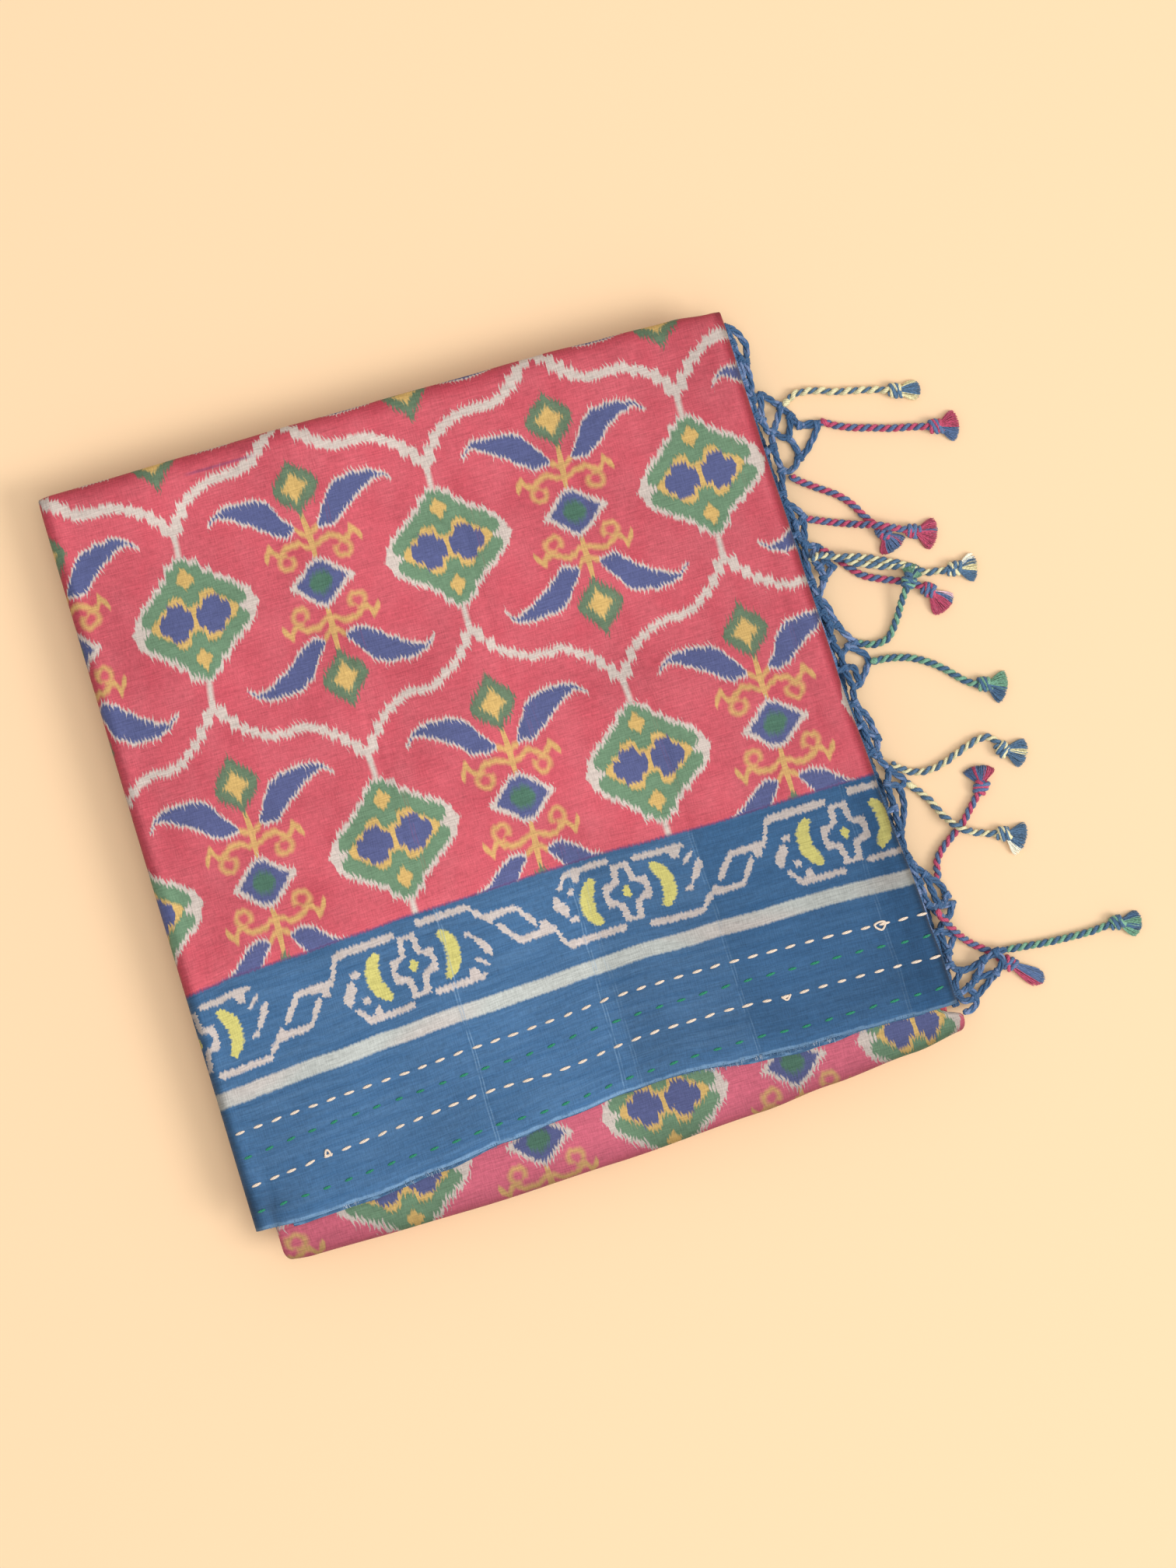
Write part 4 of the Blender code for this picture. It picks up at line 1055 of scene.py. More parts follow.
points, cloth = under_selvedge_grid(np.linspace(0, 1, 261), np.linspace(0, 1, 19))
under_selvedge = cloth_sheet("saree_under_selvedge", points, cloth)
under_selvedge.data.materials.append(selvedge_silk)
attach(under_selvedge, "root")
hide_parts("under_selvedge")

# %% [markdown]
# ## The mid-fold
#
# Between its two selvedges the silk is folded back at the near side. That fold sticks out under
# them as a pink strip, and the motifs of the field run round it.

# %% Mid-fold leaf
# how far the motifs have drifted along x from their even places
FOLD_DRIFT = ((-136, -8.5), (-112, -4.5), (-80, -0.8), (-27, 1.8), (22, 0), (109, 0),
              (122, -2.7), (133, -7.5), (141, -10.5))


def mid_fold_grid(columns, rows):
    """Points of the mid-fold leaf: rolled at its near side and at both ends, and flat and
    narrower where it is hidden."""
    u, v = np.meshgrid(columns, rows, indexing="ij")
    s, t = np.clip(u, 0, 1), np.clip(v, 0, 1)
    near = along(MID_EDGE, -128 + 267 * s) + NEAR_ROLL[0]
    y = near + (HIDDEN_END + 1 - near) * t
    hidden = smooth(-141.0, -136.0, y)
    left = -133.3 + FOLD_SIDE_ROLL[0]
    right = 142.0 - 8.2 * hidden - FOLD_SIDE_ROLL[0]
    x = left + (right - left) * s
    showing = smooth(HIDDEN_END - 12, -140.0, y)
    z = top_height(x, y) - TOP_WALL - UNDER_WALL - 2 * GAP + 0.5 * showing * crease_depth(x, y)
    turn_x, turn_y = roll_step(u), roll_step(v)
    offset = roll_offset(turn_x, turn_y, (FOLD_SIDE_ROLL, FOLD_SIDE_ROLL, NEAR_ROLL, NEAR_ROLL))
    flat = np.zeros_like(offset)
    flat[..., 0] = FOLD_SIDE_ROLL[0] * (u - 1)
    mix = (hidden * (u > 1))[..., None]
    points = np.stack([x, y, z], axis=-1) + offset * (1 - mix) + flat * mix
    return (points, x + turn_x * ROLL_ARC * sum(FOLD_SIDE_ROLL),
            y + turn_y * ROLL_ARC * sum(NEAR_ROLL))


points, cloth_x, cloth_y = mid_fold_grid(grid_steps(6, 190, 6), grid_steps(9, 20, 0))
cloth = np.stack(fold_chart(cloth_x - along(FOLD_DRIFT, cloth_x), cloth_y), axis=-1) * MM
mid_fold = cloth_sheet("saree_mid_fold", points, cloth)
mid_fold.data.materials.append(fold_silk)
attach(mid_fold, "root")
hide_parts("mid_fold")

# %% [markdown]
# ## The hidden leaves
#
# Below the three leaves that show lie about seventeen more, pressed flat. Nobody sees their
# faces, so they are one rounded block, but their edges show from the sides. Along the length
# the silk turns back at the left and the right by turns, so two leaves share each roll there.
# At the far and near sides every leaf ends in its own folded edge.

# %% Outline of the block
TOP_RIM = TOP_WALL + GAP
BLOCK_LEFT = -133.0 + FOLD_WALL + GAP


def run_length(line):
    """Length along a line, in millimetres, at each of its points."""
    return np.concatenate([[0], np.cumsum(np.linalg.norm(np.diff(line, axis=0), axis=1))])


def places_along(line, places):
    """Points of a line at some lengths along it."""
    length = run_length(line)
    return np.stack([np.interp(places, length, column) for column in line.T], axis=1)

def block_outline():
    """Rows of x, y round the hidden leaves, counter-clockwise from the near left corner."""
    near_x = np.linspace(BLOCK_LEFT + 3, 134.5, 11)
    near = np.stack([near_x, along(MID_EDGE, near_x) + FOLD_WALL + GAP + 0.6], axis=1)
    right_y = np.array([-139, -136.5, -126, -108, -84, -60, -36, -12, 12, 40, 70, 100, 122, 133])
    right_x = np.minimum(along(RIGHT_EDGE, right_y) - TOP_RIM - 0.7,
                         137.2 + 6 * smooth(-134, -120, right_y))
    corner = along(RIGHT_EDGE, 146) - TOP_RIM, far_y(130) - TOP_RIM - 1.0
    far_x = np.linspace(119, -126, 9)
    left_y = np.array([138, 104, 70, 36, 0, -36, -70, -96, -118, -140])
    return np.vstack([
        near, [[137.2, -144.0]], np.stack([right_x, right_y], axis=1),
        [[corner[0] - 2.6, corner[1] - 6.0], [corner[0] - 6.5, corner[1] - 2.2]],
        np.stack([far_x, far_y(far_x) - TOP_RIM - 1.0], axis=1),
        [[BLOCK_LEFT + 0.8, far_y(-132) - TOP_RIM - 1.6]],
        np.stack([np.full(10, BLOCK_LEFT), left_y], axis=1), [[BLOCK_LEFT + 0.5, -150.5]],
    ])


def spread_evenly(outline, count):
    """Points at even distances along a closed line, their outward normals and their lengths."""
    closed = np.vstack([outline, outline[:1]])
    places = np.linspace(0, run_length(closed)[-1], count, endpoint=False)
    points = places_along(closed, places)
    for _ in range(6):
        points = (np.roll(points, 1, axis=0) + 2 * points + np.roll(points, -1, axis=0)) / 4
    tangent = np.roll(points, -1, axis=0) - np.roll(points, 1, axis=0)
    tangent /= np.hypot(*tangent.T)[:, None]
    return points, np.stack([tangent[:, 1], -tangent[:, 0]], axis=1), places


print("points of the block's outline:", len(block_outline()))

# %% [markdown]
# Down the block's side the surface goes in and out with the leaves. A roll is a half ellipse,
# so the set-back of the surface is 1 - sqrt(1 - d * d), with d from -1 to 1 over its thickness.

# %% The block's layered side
SLOT_Z = 13.4            # where the end of the silk comes out at the right side
SHOULDER = (0.93, 2.6)   # share of the height where the rounded shoulder starts, and its reach
FOOT = (0.030, 0.9)      # share of the height where the rounded foot ends, and its reach
BLOCK_MIDDLE = np.array([3.0, -4.0])


def roll_profile(level, thickness, phase=0.0):
    """Set-back of a row of rolls at each level, 0 at a roll's middle and 1 between two rolls."""
    share = (level / thickness + phase) % 1.0
    return 1 - np.sqrt(np.maximum(0, 1 - (2 * share - 1) ** 2))


def block_top(x, y):
    """Height of the block's top, lower in the near band, where two more leaves lie on it."""
    band = smooth(BAND_Y + BAND_RAMP, BAND_Y, y)
    return top_height(x, y) - TOP_WALL - 0.9 - band * (UNDER_WALL + FOLD_WALL + 2 * GAP)


def block_surface(around, levels):
    """Grid of points round the block and down its side.

    Its inset is the rolls' set-back, with sines of the leaf's number and of the length round
    the block, because no leaf lies quite over the next one.
    """
    places, normals, lengths = spread_evenly(block_outline(), around)
    x, y = places.T[:, :, None]
    nx, ny = normals.T[:, :, None]
    run, share = lengths[:, None], levels[None, :]
    level = block_top(x, y) * share
    number = np.floor(level / LEAF_STEP)
    left, far = nx < 0, ny > 0
    pair = np.floor(level / LEAF_STEP / 2 + np.where(left, 0, 0.5))
    rolls_x = 1.35 * roll_profile(level, 2 * LEAF_STEP, np.where(left, 0.0, 0.5))
    rolls_y = 0.75 * roll_profile(level, LEAF_STEP)
    drift_x = 0.75 + 0.55 * np.sin(pair * 2.4 + 0.9) + 0.35 * np.sin(run / 41 + pair * 1.7)
    drift_y = 0.60 + 0.40 * np.sin(number * 2.1 + np.where(far, 0, 1.3))
    drift_y = drift_y + 0.30 * np.sin(run / 33 + number * 2.9)
    inset = nx ** 2 * (rolls_x + drift_x) + ny ** 2 * (rolls_y + drift_y)
    slot = (nx > 0.5) * smooth(-140, -136, y) * smooth(137, 133, y)
    inset = inset + slot * 5.0 * np.exp(-((level - SLOT_Z) / 1.5) ** 4)
    start, reach = SHOULDER
    shoulder = np.maximum(0, share - start) / (1 - start)
    inset = inset + reach * (1 - np.sqrt(np.maximum(0, 1 - shoulder ** 2)))
    end, reach = FOOT
    inset = inset + reach * (np.maximum(0, end - share) / end) ** 2
    return np.stack([x - nx * inset, y - ny * inset, level], axis=-1)


def drawn_in(ring, scale):
    """A copy of a ring of points, drawn in towards the block's middle."""
    ring = ring.copy()
    ring[:, :2] = BLOCK_MIDDLE + (ring[:, :2] - BLOCK_MIDDLE) * scale
    return ring


# %% The hidden leaves as one block
side = block_surface(440, np.concatenate([[1.0], np.linspace(0.997, 0.0, 104)]))
over = np.stack([drawn_in(side[:, 0], scale) for scale in (0.04, 0.5, 0.80, 0.93)], axis=1)
over[..., 2] = block_top(over[..., 0], over[..., 1])
under = np.stack([drawn_in(side[:, -1], scale) for scale in (0.5, 0.04)], axis=1)
grid = np.concatenate([over, side, under], axis=1)
around, down = grid.shape[:2]
faces = grid_faces(around, down, round_rows=True)[:, ::-1].tolist()
faces.append(list(range(0, around * down, down)))
faces.append(list(range(down - 1, around * down, down))[::-1])
length_round = np.linspace(0, 1.15, around)[:, None] + np.zeros((around, down))
cloth = np.stack([length_round, grid[..., 2] * MM], axis=-1)
leaf_block = build_mesh("saree_leaf_edges", grid.reshape(-1, 3), faces, cloth.reshape(-1, 2))
report(leaf_block)
leaf_block.data.materials.append(edge_silk)
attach(leaf_block, "root")
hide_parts("folded_stack")

# %% [markdown]
# ## Routes and twisted strands
#
# The fringe is thread tied and twisted by hand. Every strand follows a smooth route through a
# few points. Round the route run two or three plies as helices, each a round thread. That is
# how the real cord is laid, so its lumps, its grooves and its two colours come out right.

# %% Smooth routes
FLOOR_GAP = 0.5          # the fringe's lowest points over the floor
EXIT_HEIGHT = SLOT_Z     # where the fringe leaves the pack
FALL = 13.5              # distance from the pack in which it falls to the floor
NET_RADIUS, CORD_RADIUS, KNOT_RADIUS = 1.05, 1.55, 2.45


def under_height(x, y):
    """Height of the fringe's underside: it falls from the pack's side to the floor, by a smooth
    step, and starts lower near the pack's near corner."""
    start = EXIT_HEIGHT - NET_RADIUS - 1.4 - 3.5 * smooth(-122, -132, y)
    return FLOOR_GAP + (start - FLOOR_GAP) * smooth(FALL, 0.0, x - along(RIGHT_EDGE, y))


def lifted(stops, radius):
    """Points of a thread through stops of x, y and sometimes a lift over what lies below."""
    return np.array([(x, y, under_height(x, y) + radius + sum(lift)) for x, y, *lift in stops])


def curved(points, step):
    """A smooth route through points: cubic pieces whose slope at a point is half the chord
    between its two neighbours, sampled again at even distances."""
    points = np.asarray(points, float)
    ends = np.vstack([2 * points[0] - points[1], points, 2 * points[-1] - points[-2]])
    t = np.linspace(0, 1, 24, endpoint=False)[None, :, None]
    a, b, c, d = (ends[k:len(ends) - 3 + k][:, None] for k in range(4))
    cubic = 0.5 * (2 * b + (c - a) * t + (2 * a - 5 * b + 4 * c - d) * t ** 2
                   + (3 * b - a - 3 * c + d) * t ** 3)
    line = np.vstack([cubic.reshape(-1, 3), points[-1:]])
    length = run_length(line)[-1]
    return places_along(line, np.linspace(0, length, max(4, int(round(length / step)) + 1)))


def axes_along(route):
    """Unit vectors along a route, to its side and upwards, for each of its points."""
    ahead = np.gradient(route, axis=0)
    ahead /= np.linalg.norm(ahead, axis=1)[:, None]
    side = np.cross(ahead, [0.0, 0.0, 1.0])
    side /= np.linalg.norm(side, axis=1)[:, None]
    return ahead, side, np.cross(side, ahead)


# %% [markdown]
# Pieces of thread are collected in a basket, which keeps one long list of points and faces.
# A basket becomes one mesh at the end, so a tassel of three hundred threads is a single piece.

# %% A basket of threads
class Basket:
    """Points, faces and named numbers of many small surfaces that will be one mesh."""

    def __init__(self):
        self.points, self.faces, self.values, self.count = [], [], {}, 0

    def add(self, points, faces, **values):
        points = points.reshape(-1, 3)
        self.faces.append(np.asarray(faces) + self.count)
        self.points.append(points)
        for title, numbers in values.items():
            full = np.broadcast_to(np.asarray(numbers, float), (len(points),))
            self.values.setdefault(title, []).append(full)
        self.count += len(points)

    def build(self, name):
        values = {title: np.concatenate(parts) for title, parts in self.values.items()}
        faces = [tuple(face) for part in self.faces for face in part.tolist()]
        obj = build_mesh(name, np.vstack(self.points), faces, values=values)
        report(obj)
        return obj


def tube(basket, route, radius, sides=8, along_from=0.0, flat=1.0, **values):
    """A round thread along a route, with closed ends.

    The ring at each point is centre + radius * (side * cosine + up * sine), and the end rings
    shrink to an eighth. radius may be one number or one for each point.
    """
    ahead, side, up = axes_along(route)
    size = np.broadcast_to(np.asarray(radius, float), (len(route),)).copy()
    start, end = route[:1] - ahead[:1] * size[0] * 0.6, route[-1:] + ahead[-1:] * size[-1] * 0.6
    centre = np.vstack([start, route, end])
    side, up = (np.vstack([part[:1], part, part[-1:]]) for part in (side, up))
    size = np.concatenate([[size[0] * 0.12], size, [size[-1] * 0.12]])
    angle = np.linspace(0, 2 * np.pi, sides, endpoint=False)[None, :, None]
    ring = side[:, None] * np.cos(angle) + up[:, None] * np.sin(angle) * flat
    points = centre[:, None] + ring * size[:, None, None]
    rows = len(centre)
    faces = grid_faces(rows, sides, round_columns=True)
    values["run"] = np.repeat(along_from + run_length(centre), sides)
    values["turn"] = np.tile(np.arange(sides) / sides, rows)
    basket.add(points, faces, **values)
    first = basket.count - rows * sides + np.arange(sides)
    basket.faces.append(np.array([first, first[::-1] + (rows - 1) * sides]))


def many_threads(basket, points, **values):
    """Many short closed threads at once, from points by thread, ring, corner and axis. Each ring
    goes round from the thread's left side over its top."""
    count, rings, corners = points.shape[:3]
    first = basket.count + (np.arange(count) * rings * corners)[:, None] + np.arange(corners)
    sides = grid_faces(rings, corners, round_columns=True)[:, ::-1]
    steps = (np.arange(count) * rings * corners)[:, None, None]
    basket.add(points, (sides[None] + steps).reshape(-1, 4), **values)
    basket.faces += [first[:, ::-1], first + (rings - 1) * corners]


def helix(route, offset, pitch, phase, flat=1.0):
    """A helix round a route: centre + offset * (side * cosine + up * sine) of its turned angle,
    which goes once round in each pitch."""
    ahead, side, up = axes_along(route)
    angle = (2 * np.pi * run_length(route) / pitch + phase)[:, None]
    offset = np.broadcast_to(np.asarray(offset, float), (len(route),))[:, None]
    return route + offset * (side * np.cos(angle) + flat * up * np.sin(angle))


print("length of a test route: %.1f mm" % run_length(curved([(0, 0, 0), (10, 0, 0)], 0.5))[-1])

# %% [markdown]
# ## The net
#
# The silk's own threads, past the last weft, are tied in bunches into a net of uneven meshes.
# The table gives each knot its place, and each strand is a run of knots. A strand is three soft
# plies lying beside each other, so that it reads as a flat ribbon of thread.

# %% Knots, strands and cords, in millimetres
# knots of the net, counted within each letter: x, y and, where it isn't 0, how far each is
# lifted over what lies below it
KNOTS = {letter + str(number): place for letter, places in {
    "u": ((132.6, 137.4), (135.5, 135.5), (138.0, 129.0), (136.0, 123.0), (135.5, 116.0), (134.0,
          108.0), (133.0, 131.0), (134.2, 124.0, 0.4), (132.8, 115.0)),
    "a": ((138.0, 109.3), (142.0, 105.8), (144.5, 103.0), (147.0, 98.5), (149.5, 94.0), (156.0,
          92.5)),
    "b": ((149.5, 84.5), (145.5, 82.0), (141.5, 78.6), (137.0, 78.5)),
    "c": ((138.0, 94.5), (135.5, 99.5), (133.2, 101.5), (143.5, 91.0), (145.3, 87.0), (136.5,
          88.5), (133.4, 87.6)),
    "d": ((134.6, 70.0), (134.8, 66.0), (140.0, 59.5), (136.2, 58.0), (135.2, 53.5), (137.3,
          49.5), (142.0, 47.0), (138.6, 44.0), (137.7, 63.8, 0.4)),
    "e": ((135.6, 42.0), (135.3, 34.0), (135.6, 27.5), (140.3, 39.0), (140.5, 34.5), (145.6,
          38.0), (143.2, 41.5), (137.8, 30.5)),
    "f": ((138.4, 24.5), (140.3, 15.5), (145.5, 7.0), (136.2, 22.0), (137.4, 17.0), (136.3,
          11.0), (138.2, 5.0), (142.0, 7.0)),
    "g": ((147.6, 2.0), (147.6, -1.8), (142.0, -8.0), (139.0, -8.6), (137.7, -1.0), (141.5, -1.5)),
    "h": ((137.7, -15.0), (141.0, -21.5), (142.2, -30.5), (138.0, -24.0), (140.3, -37.0), (143.3,
          -43.5), (138.6, -35.0)),
    "i": ((148.0, -49.0), (144.8, -51.0), (140.5, -48.0), (144.5, -58.5), (139.8, -68.0), (140.4,
          -58.0)),
    "j": ((139.7, -77.5), (144.5, -86.0), (149.0, -91.0), (150.5, -96.5), (141.2, -88.0), (146.5,
          -99.0), (152.0, -100.3), (147.5, -104.5), (142.2, -97.5)),
    "k": ((143.4, -108.2), (148.0, -111.8), (144.0, -117.0), (143.2, -122.0)),
    "l": ((147.0, -125.4, 0.2), (152.0, -125.6, 1.4), (157.0, -124.0, 3.7), (162.4, -122.6, 4.0),
          (166.2, -123.2, 2.2)),
    "m": ((143.6, -129.0), (142.9, -133.5), (145.0, -137.0), (149.8, -137.0), (156.0, -133.5),
          (160.2, -130.4, 1.8), (163.6, -126.6, 3.9), (152.0, -130.2, 0.3), (148.0, -132.6),
          (147.8, -140.6)),
    "n": ((143.2, -141.2),),
}.items() for number, place in enumerate(places)}

# strands of the net, each a run of knots
STRANDS = (
    "u0 u1 u2 u3 u4 u5", "u0 u6 u7 u3", "u7 u8 u5", "u5 a0 a1 a2 a3 a4 a5", "u5 c2 c1",
    "a2 c0 c1 a0", "a3 c3 c0", "c0 c5 b3", "c3 c4 b1", "a4 a5 b0 b1 b2 b3", "c5 c6",
    "b3 d0 d1 d8 d2", "d1 d3 d2", "d3 d4 d5 d6", "d2 d5", "d5 e0 e1 e2", "d6 d7 e3 e4 e7 e2",
    "e5 e4", "e3 e6 e5", "e2 f0 f1 f2", "e2 f3 f4 f1", "f4 f5 f6 f7 f2", "f7 g0 g1 g2 g3",
    "f6 g4 g3", "g4 g5 g2", "g3 h0 h1 h2", "h0 h3 h2", "h2 h4 h5", "h3 h6 h4", "h5 i0 i1",
    "i2 h5", "i2 i1 i3 i4", "i2 i5 i4", "i4 j0 j1 j2 j3", "j0 j4 j8 j5 j6", "j1 j5 j3",
    "j6 j7 j8", "j7 k0 k2", "k0 k1 k2 k3", "k3 l0 l1 l2 l3 l4", "l0 m0 m1 m2 m3 m4 m5 m6 l3",
    "l2 m7 m8 m1", "m7 m5", "m8 m3 m9 n0",
)

# knots that are tied to the cloth's end inside the pack
TIED = ("u0", "u6", "u8", "c2", "c6", "d0", "d4", "e1", "f3", "f5", "g4", "h0", "h3", "h6",
        "i5", "i4", "j4", "k0", "k3")

# cords: colour, and route as x, y and any lift; then the tuft: its direction in degrees, its
# length, half its width at the tip, and its bunches from the right to the left side as one
# looks along it, where n is navy, c the colour and w a pale end
CORDS = (
    ("yellow", ((145.8, 103.2), (150, 106), (154, 106.2), (160, 105), (166, 102.6),
                (174.5, 100.6), (182.5, 98.4), (188.7, 96)), (-13, 9.6, 3.7, "ccnnnnnc")),
    ("pink", ((157.7, 93.1), (163, 89.8), (169.5, 87), (176, 85), (182.5, 82.8), (191, 80.8),
              (199.7, 78.2)), (-13, 8.8, 5.6, "nnnnccccc")),
    ("pink", ((140.1, 75.9), (143.5, 73), (149.5, 68.5), (155.5, 64), (159.8, 59), (162.5, 54),
              (165.2, 49.8), (168.3, 45.0)), (-72, 8.2, 5.4, "ccnnnnncn")),
    ("pink", ((141.0, 58.6), (149.5, 55), (155.5, 52.5), (161, 50.2, 2.2), (166, 48.4, 4.7),
              (171, 46.0, 4.9), (175, 44.2, 2.4), (179.5, 42, 0.2)),
     (-24, 9.2, 5.8, "ccccccnccc")),
    ("yellow", ((137.4, 42.6, 3.8), (141, 43.6, 4.2), (145, 42.2, 4.0), (149, 40.6, 3.9),
                (154, 39.4, 3.6), (159.5, 37.4, 1.4), (166, 34.2), (172, 31), (178.5, 26),
                (184, 24.6), (190.5, 23.6)), (-12, 8.8, 5.5, "nnnccnnw")),
    ("pink", ((143.0, 46.0), (147, 42), (150.5, 37.4), (155.3, 31.8), (161, 28.6), (167, 26),
              (171, 24), (174.5, 22), (178.5, 18.5)), (-60, 10.2, 5.3, "cccccccnnw")),
    ("green", ((146.6, 6.8), (151, 5.0), (154, 4.6), (158, 5.5), (161, 8.5), (164, 12.6, 0.8),
               (167, 17.5, 2.6), (169.5, 21, 4.2), (171.8, 24.2, 4.6)),
     (52, 7.2, 4.4, "cccnccccc")),
    ("green", ((149.0, -1.4), (154, -1.8), (158, -2.5), (164.5, -4.6), (171, -8.6), (176, -13),
               (180, -17.4), (184, -20.8), (188.5, -22.6)), (-24, 8.8, 6.0, "nnnnccccc")),
    ("yellow", ((144.8, -41.6), (151, -46.4), (157.5, -48), (164.5, -47), (171.5, -44.6),
                (178.5, -42.4), (183, -42.2), (186.2, -44.6), (187.6, -48.6)),
     (-28, 9.8, 5.4, "nnnnnccnnn")),
    ("yellow", ((148.5, -50.2), (152.2, -55), (155.4, -60, 0.2), (157.6, -65.4, 1.2),
                (160.4, -70, 3.4), (162.8, -72.6, 3.8), (165, -74.4, 3.4), (169, -76.6, 1.0),
                (174, -78.5), (178.6, -80)), (-34, 9.0, 6.2, "wwnnnnnnn")),
    ("pink", ((149.2, -88.9), (150.6, -83), (154.3, -78.6), (160, -74.6), (165, -71), (169, -67),
              (173, -63), (175.6, -60)), (80, 8.2, 5.8, "cccnnnncnnn")),
    ("pink", ((144.2, -100.4, 3.4), (147, -106.4, 3.8), (151, -113, 2.8), (155, -117.6, 0.4),
              (159.5, -121.4), (162.6, -125), (166, -128.6)), (-44, 15.0, 3.2, "cccnnnnn")),
    ("green", ((166.8, -123.2), (173.5, -124), (181.5, -125), (190, -125.6), (199.5, -126),
               (206, -125.6), (210.5, -125.6)), (-20, 9.6, 4.8, "ccnnccnn")),
)

# cords that start with a full bulb of their coloured ply
BULBS = (0, 1, 7, 9, 11)

# the second strand of the doubled yellow cord; it joins the first one at both ends
DOUBLED = 4
SECOND_STRAND = ((150.6, 38.7, 3.6), (154, 36.8, 3.5), (159, 34.7, 1.8), (164, 32.6, 0.3),
                 (168.5, 31.4), (172.5, 30.4))

print("knots:", len(KNOTS), "strands:", len(STRANDS), "cords:", len(CORDS))

# %% Ribbons and knots of the net
RNG = np.random.default_rng(7)
UP = np.array([0.0, 0.0, 1.0])
STRAND_STEP = 0.7        # distance between the points of a strand's route
NET_KNOT = 1.35          # half the width of a knot in the net
TIE_DEPTHS = (5.2, 1.2)  # how deep in the pack a tied strand starts, and where it comes out
LAST_TIE = 128.0         # the farthest place where one is tied


def strand_tone():
    return 0.35 + 0.3 * RNG.random()


def ribbon(basket, route, phase, pitch=13.0, radius=0.74, tone=0.5):
    """Three soft plies laid flat side by side, turning slowly over each other."""
    length = run_length(route)
    ends = np.minimum(smooth(0, 1.5, length), smooth(length[-1], length[-1] - 1.5, length))
    for ply in range(3):
        turn = phase + ply * 2 * np.pi / 3
        line = helix(route, 0.80 * (0.45 + 0.55 * ends), pitch, turn, flat=0.6)
        swell = radius * (0.86 + 0.14 * np.sin(length / 2.3 + ply * 2 + phase))
        tube(basket, line, swell, sides=7, flat=0.9, tone=tone + 0.12 * (ply - 1), kind=0.0)


def tied_knot(basket, centre, heading, tone):
    """A small overhand knot: one ply goes round the strand in two turns and tucks under."""
    t = np.linspace(0, 1, 40)
    angle = t * 2 * np.pi * 2.2
    across = np.array([-heading[1], heading[0], 0.0])
    ring = NET_KNOT * (0.86 + 0.14 * np.sin(angle * 0.5))
    line = (centre + heading * ((t - 0.5) * NET_KNOT * 1.5)[:, None]
            + across * (ring * np.cos(angle))[:, None]
            + UP * (ring * 0.72 * np.sin(angle))[:, None])
    tube(basket, line, 0.70, sides=7, tone=tone, kind=0.0)


# %% Net of tied strands
net = Basket()
ways = {name: [] for name in KNOTS}
for number, names in enumerate(STRANDS):
    stops = lifted([KNOTS[name] for name in names.split()], NET_RADIUS)
    ribbon(net, curved(stops, STRAND_STEP), number * 1.3, tone=strand_tone())
    padded = np.vstack([stops[:1], stops, stops[-1:]])
    for name, way in zip(names.split(), padded[2:] - padded[:-2]):
        ways[name].append(way)
for number, name in enumerate(TIED):
    end = lifted([KNOTS[name]], NET_RADIUS)[0]
    edge = float(along(RIGHT_EDGE, end[1]))
    y = min(end[1], LAST_TIE)
    start, mouth = ((edge - depth, place, EXIT_HEIGHT)
                    for depth, place in zip(TIE_DEPTHS, (y, (y + end[1]) / 2)))
    ribbon(net, curved([start, mouth, end], STRAND_STEP), number * 2.1, tone=strand_tone())
    ways[name].append(end - np.array(start))
for name, chords in ways.items():
    if len(chords) > 1:
        heading = chords[0] / np.linalg.norm(chords[0])
        tied_knot(net, lifted([KNOTS[name]], NET_RADIUS)[0], heading, strand_tone())

# the heading: three soft cords of loose loops that run along the silk's end
heading_y = np.linspace(132, -138, 400)
for number, reach in enumerate((0.5, 1.2, 0.1)):
    wander = 0.55 * np.sin(heading_y / 3.7 + number * 2.6) + 0.35 * np.sin(heading_y / 9.1 + number)
    heading_x = along(RIGHT_EDGE, heading_y) + reach + wander
    heading_z = FLOOR_GAP + 2.2 + 1.1 * np.sin(heading_y / 5.3 + number * 3.0) + 2.2 * number
    ribbon(net, np.stack([heading_x, heading_y, heading_z], axis=1), number * 2.0, pitch=9.0,
           radius=0.72, tone=0.2 + 0.1 * number)

# the flat end of the silk in the pack's side, a closed strip with an uneven rim
strip_y = np.linspace(-134, 130, 133)
y, reach = np.meshgrid(strip_y, [-7.5, -5.0, -3.0, -1.2, 0.1, 1.1], indexing="ij")
x = along(RIGHT_EDGE, y) + reach
x = x + np.where(reach > 0, 0.5 * np.sin(y / 2.3) * np.cos(y / 9.0), 0)
z = EXIT_HEIGHT + 0.25 * np.sin(y / 5.5) * np.cos(reach) - 0.7 * smooth(-1.5, 1.2, reach)
upper, lower = (np.stack([x, y, z + half], axis=-1) for half in (0.35, -0.35))
wall = np.concatenate([upper, lower[:, ::-1]], axis=1)
tone = 0.12 + 0.5 * smooth(0.3, 0.9, np.sin(strip_y / 17 + 1.0))
many_threads(net, wall[None], run=np.repeat(strip_y, wall.shape[1]), turn=0.0, kind=0.0,
             tone=np.repeat(tone, wall.shape[1]))
fringe_net = net.build("saree_fringe_net")
fringe_net.data.materials.append(net_thread)
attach(fringe_net, "root")
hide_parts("fringe_net")

# %% [markdown]
# ## The twisted cords and their tufts
#
# Each cord is a navy ply and a coloured ply laid round each other, one turn in five
# millimetres. At its end both are tied in one knot, and past the knot the threads open into a
# small brush in both colours, cut off short.

# %% A cord's plies and its knot
PITCH = 5.2              # one full turn of the two plies
PLY_OFFSET = 0.78
PLY_RADIUS = 0.80
CORD_STEP = 0.55         # distance between the points of a cord's route
BALL = 3.1               # half the width of the knot at a cord's end
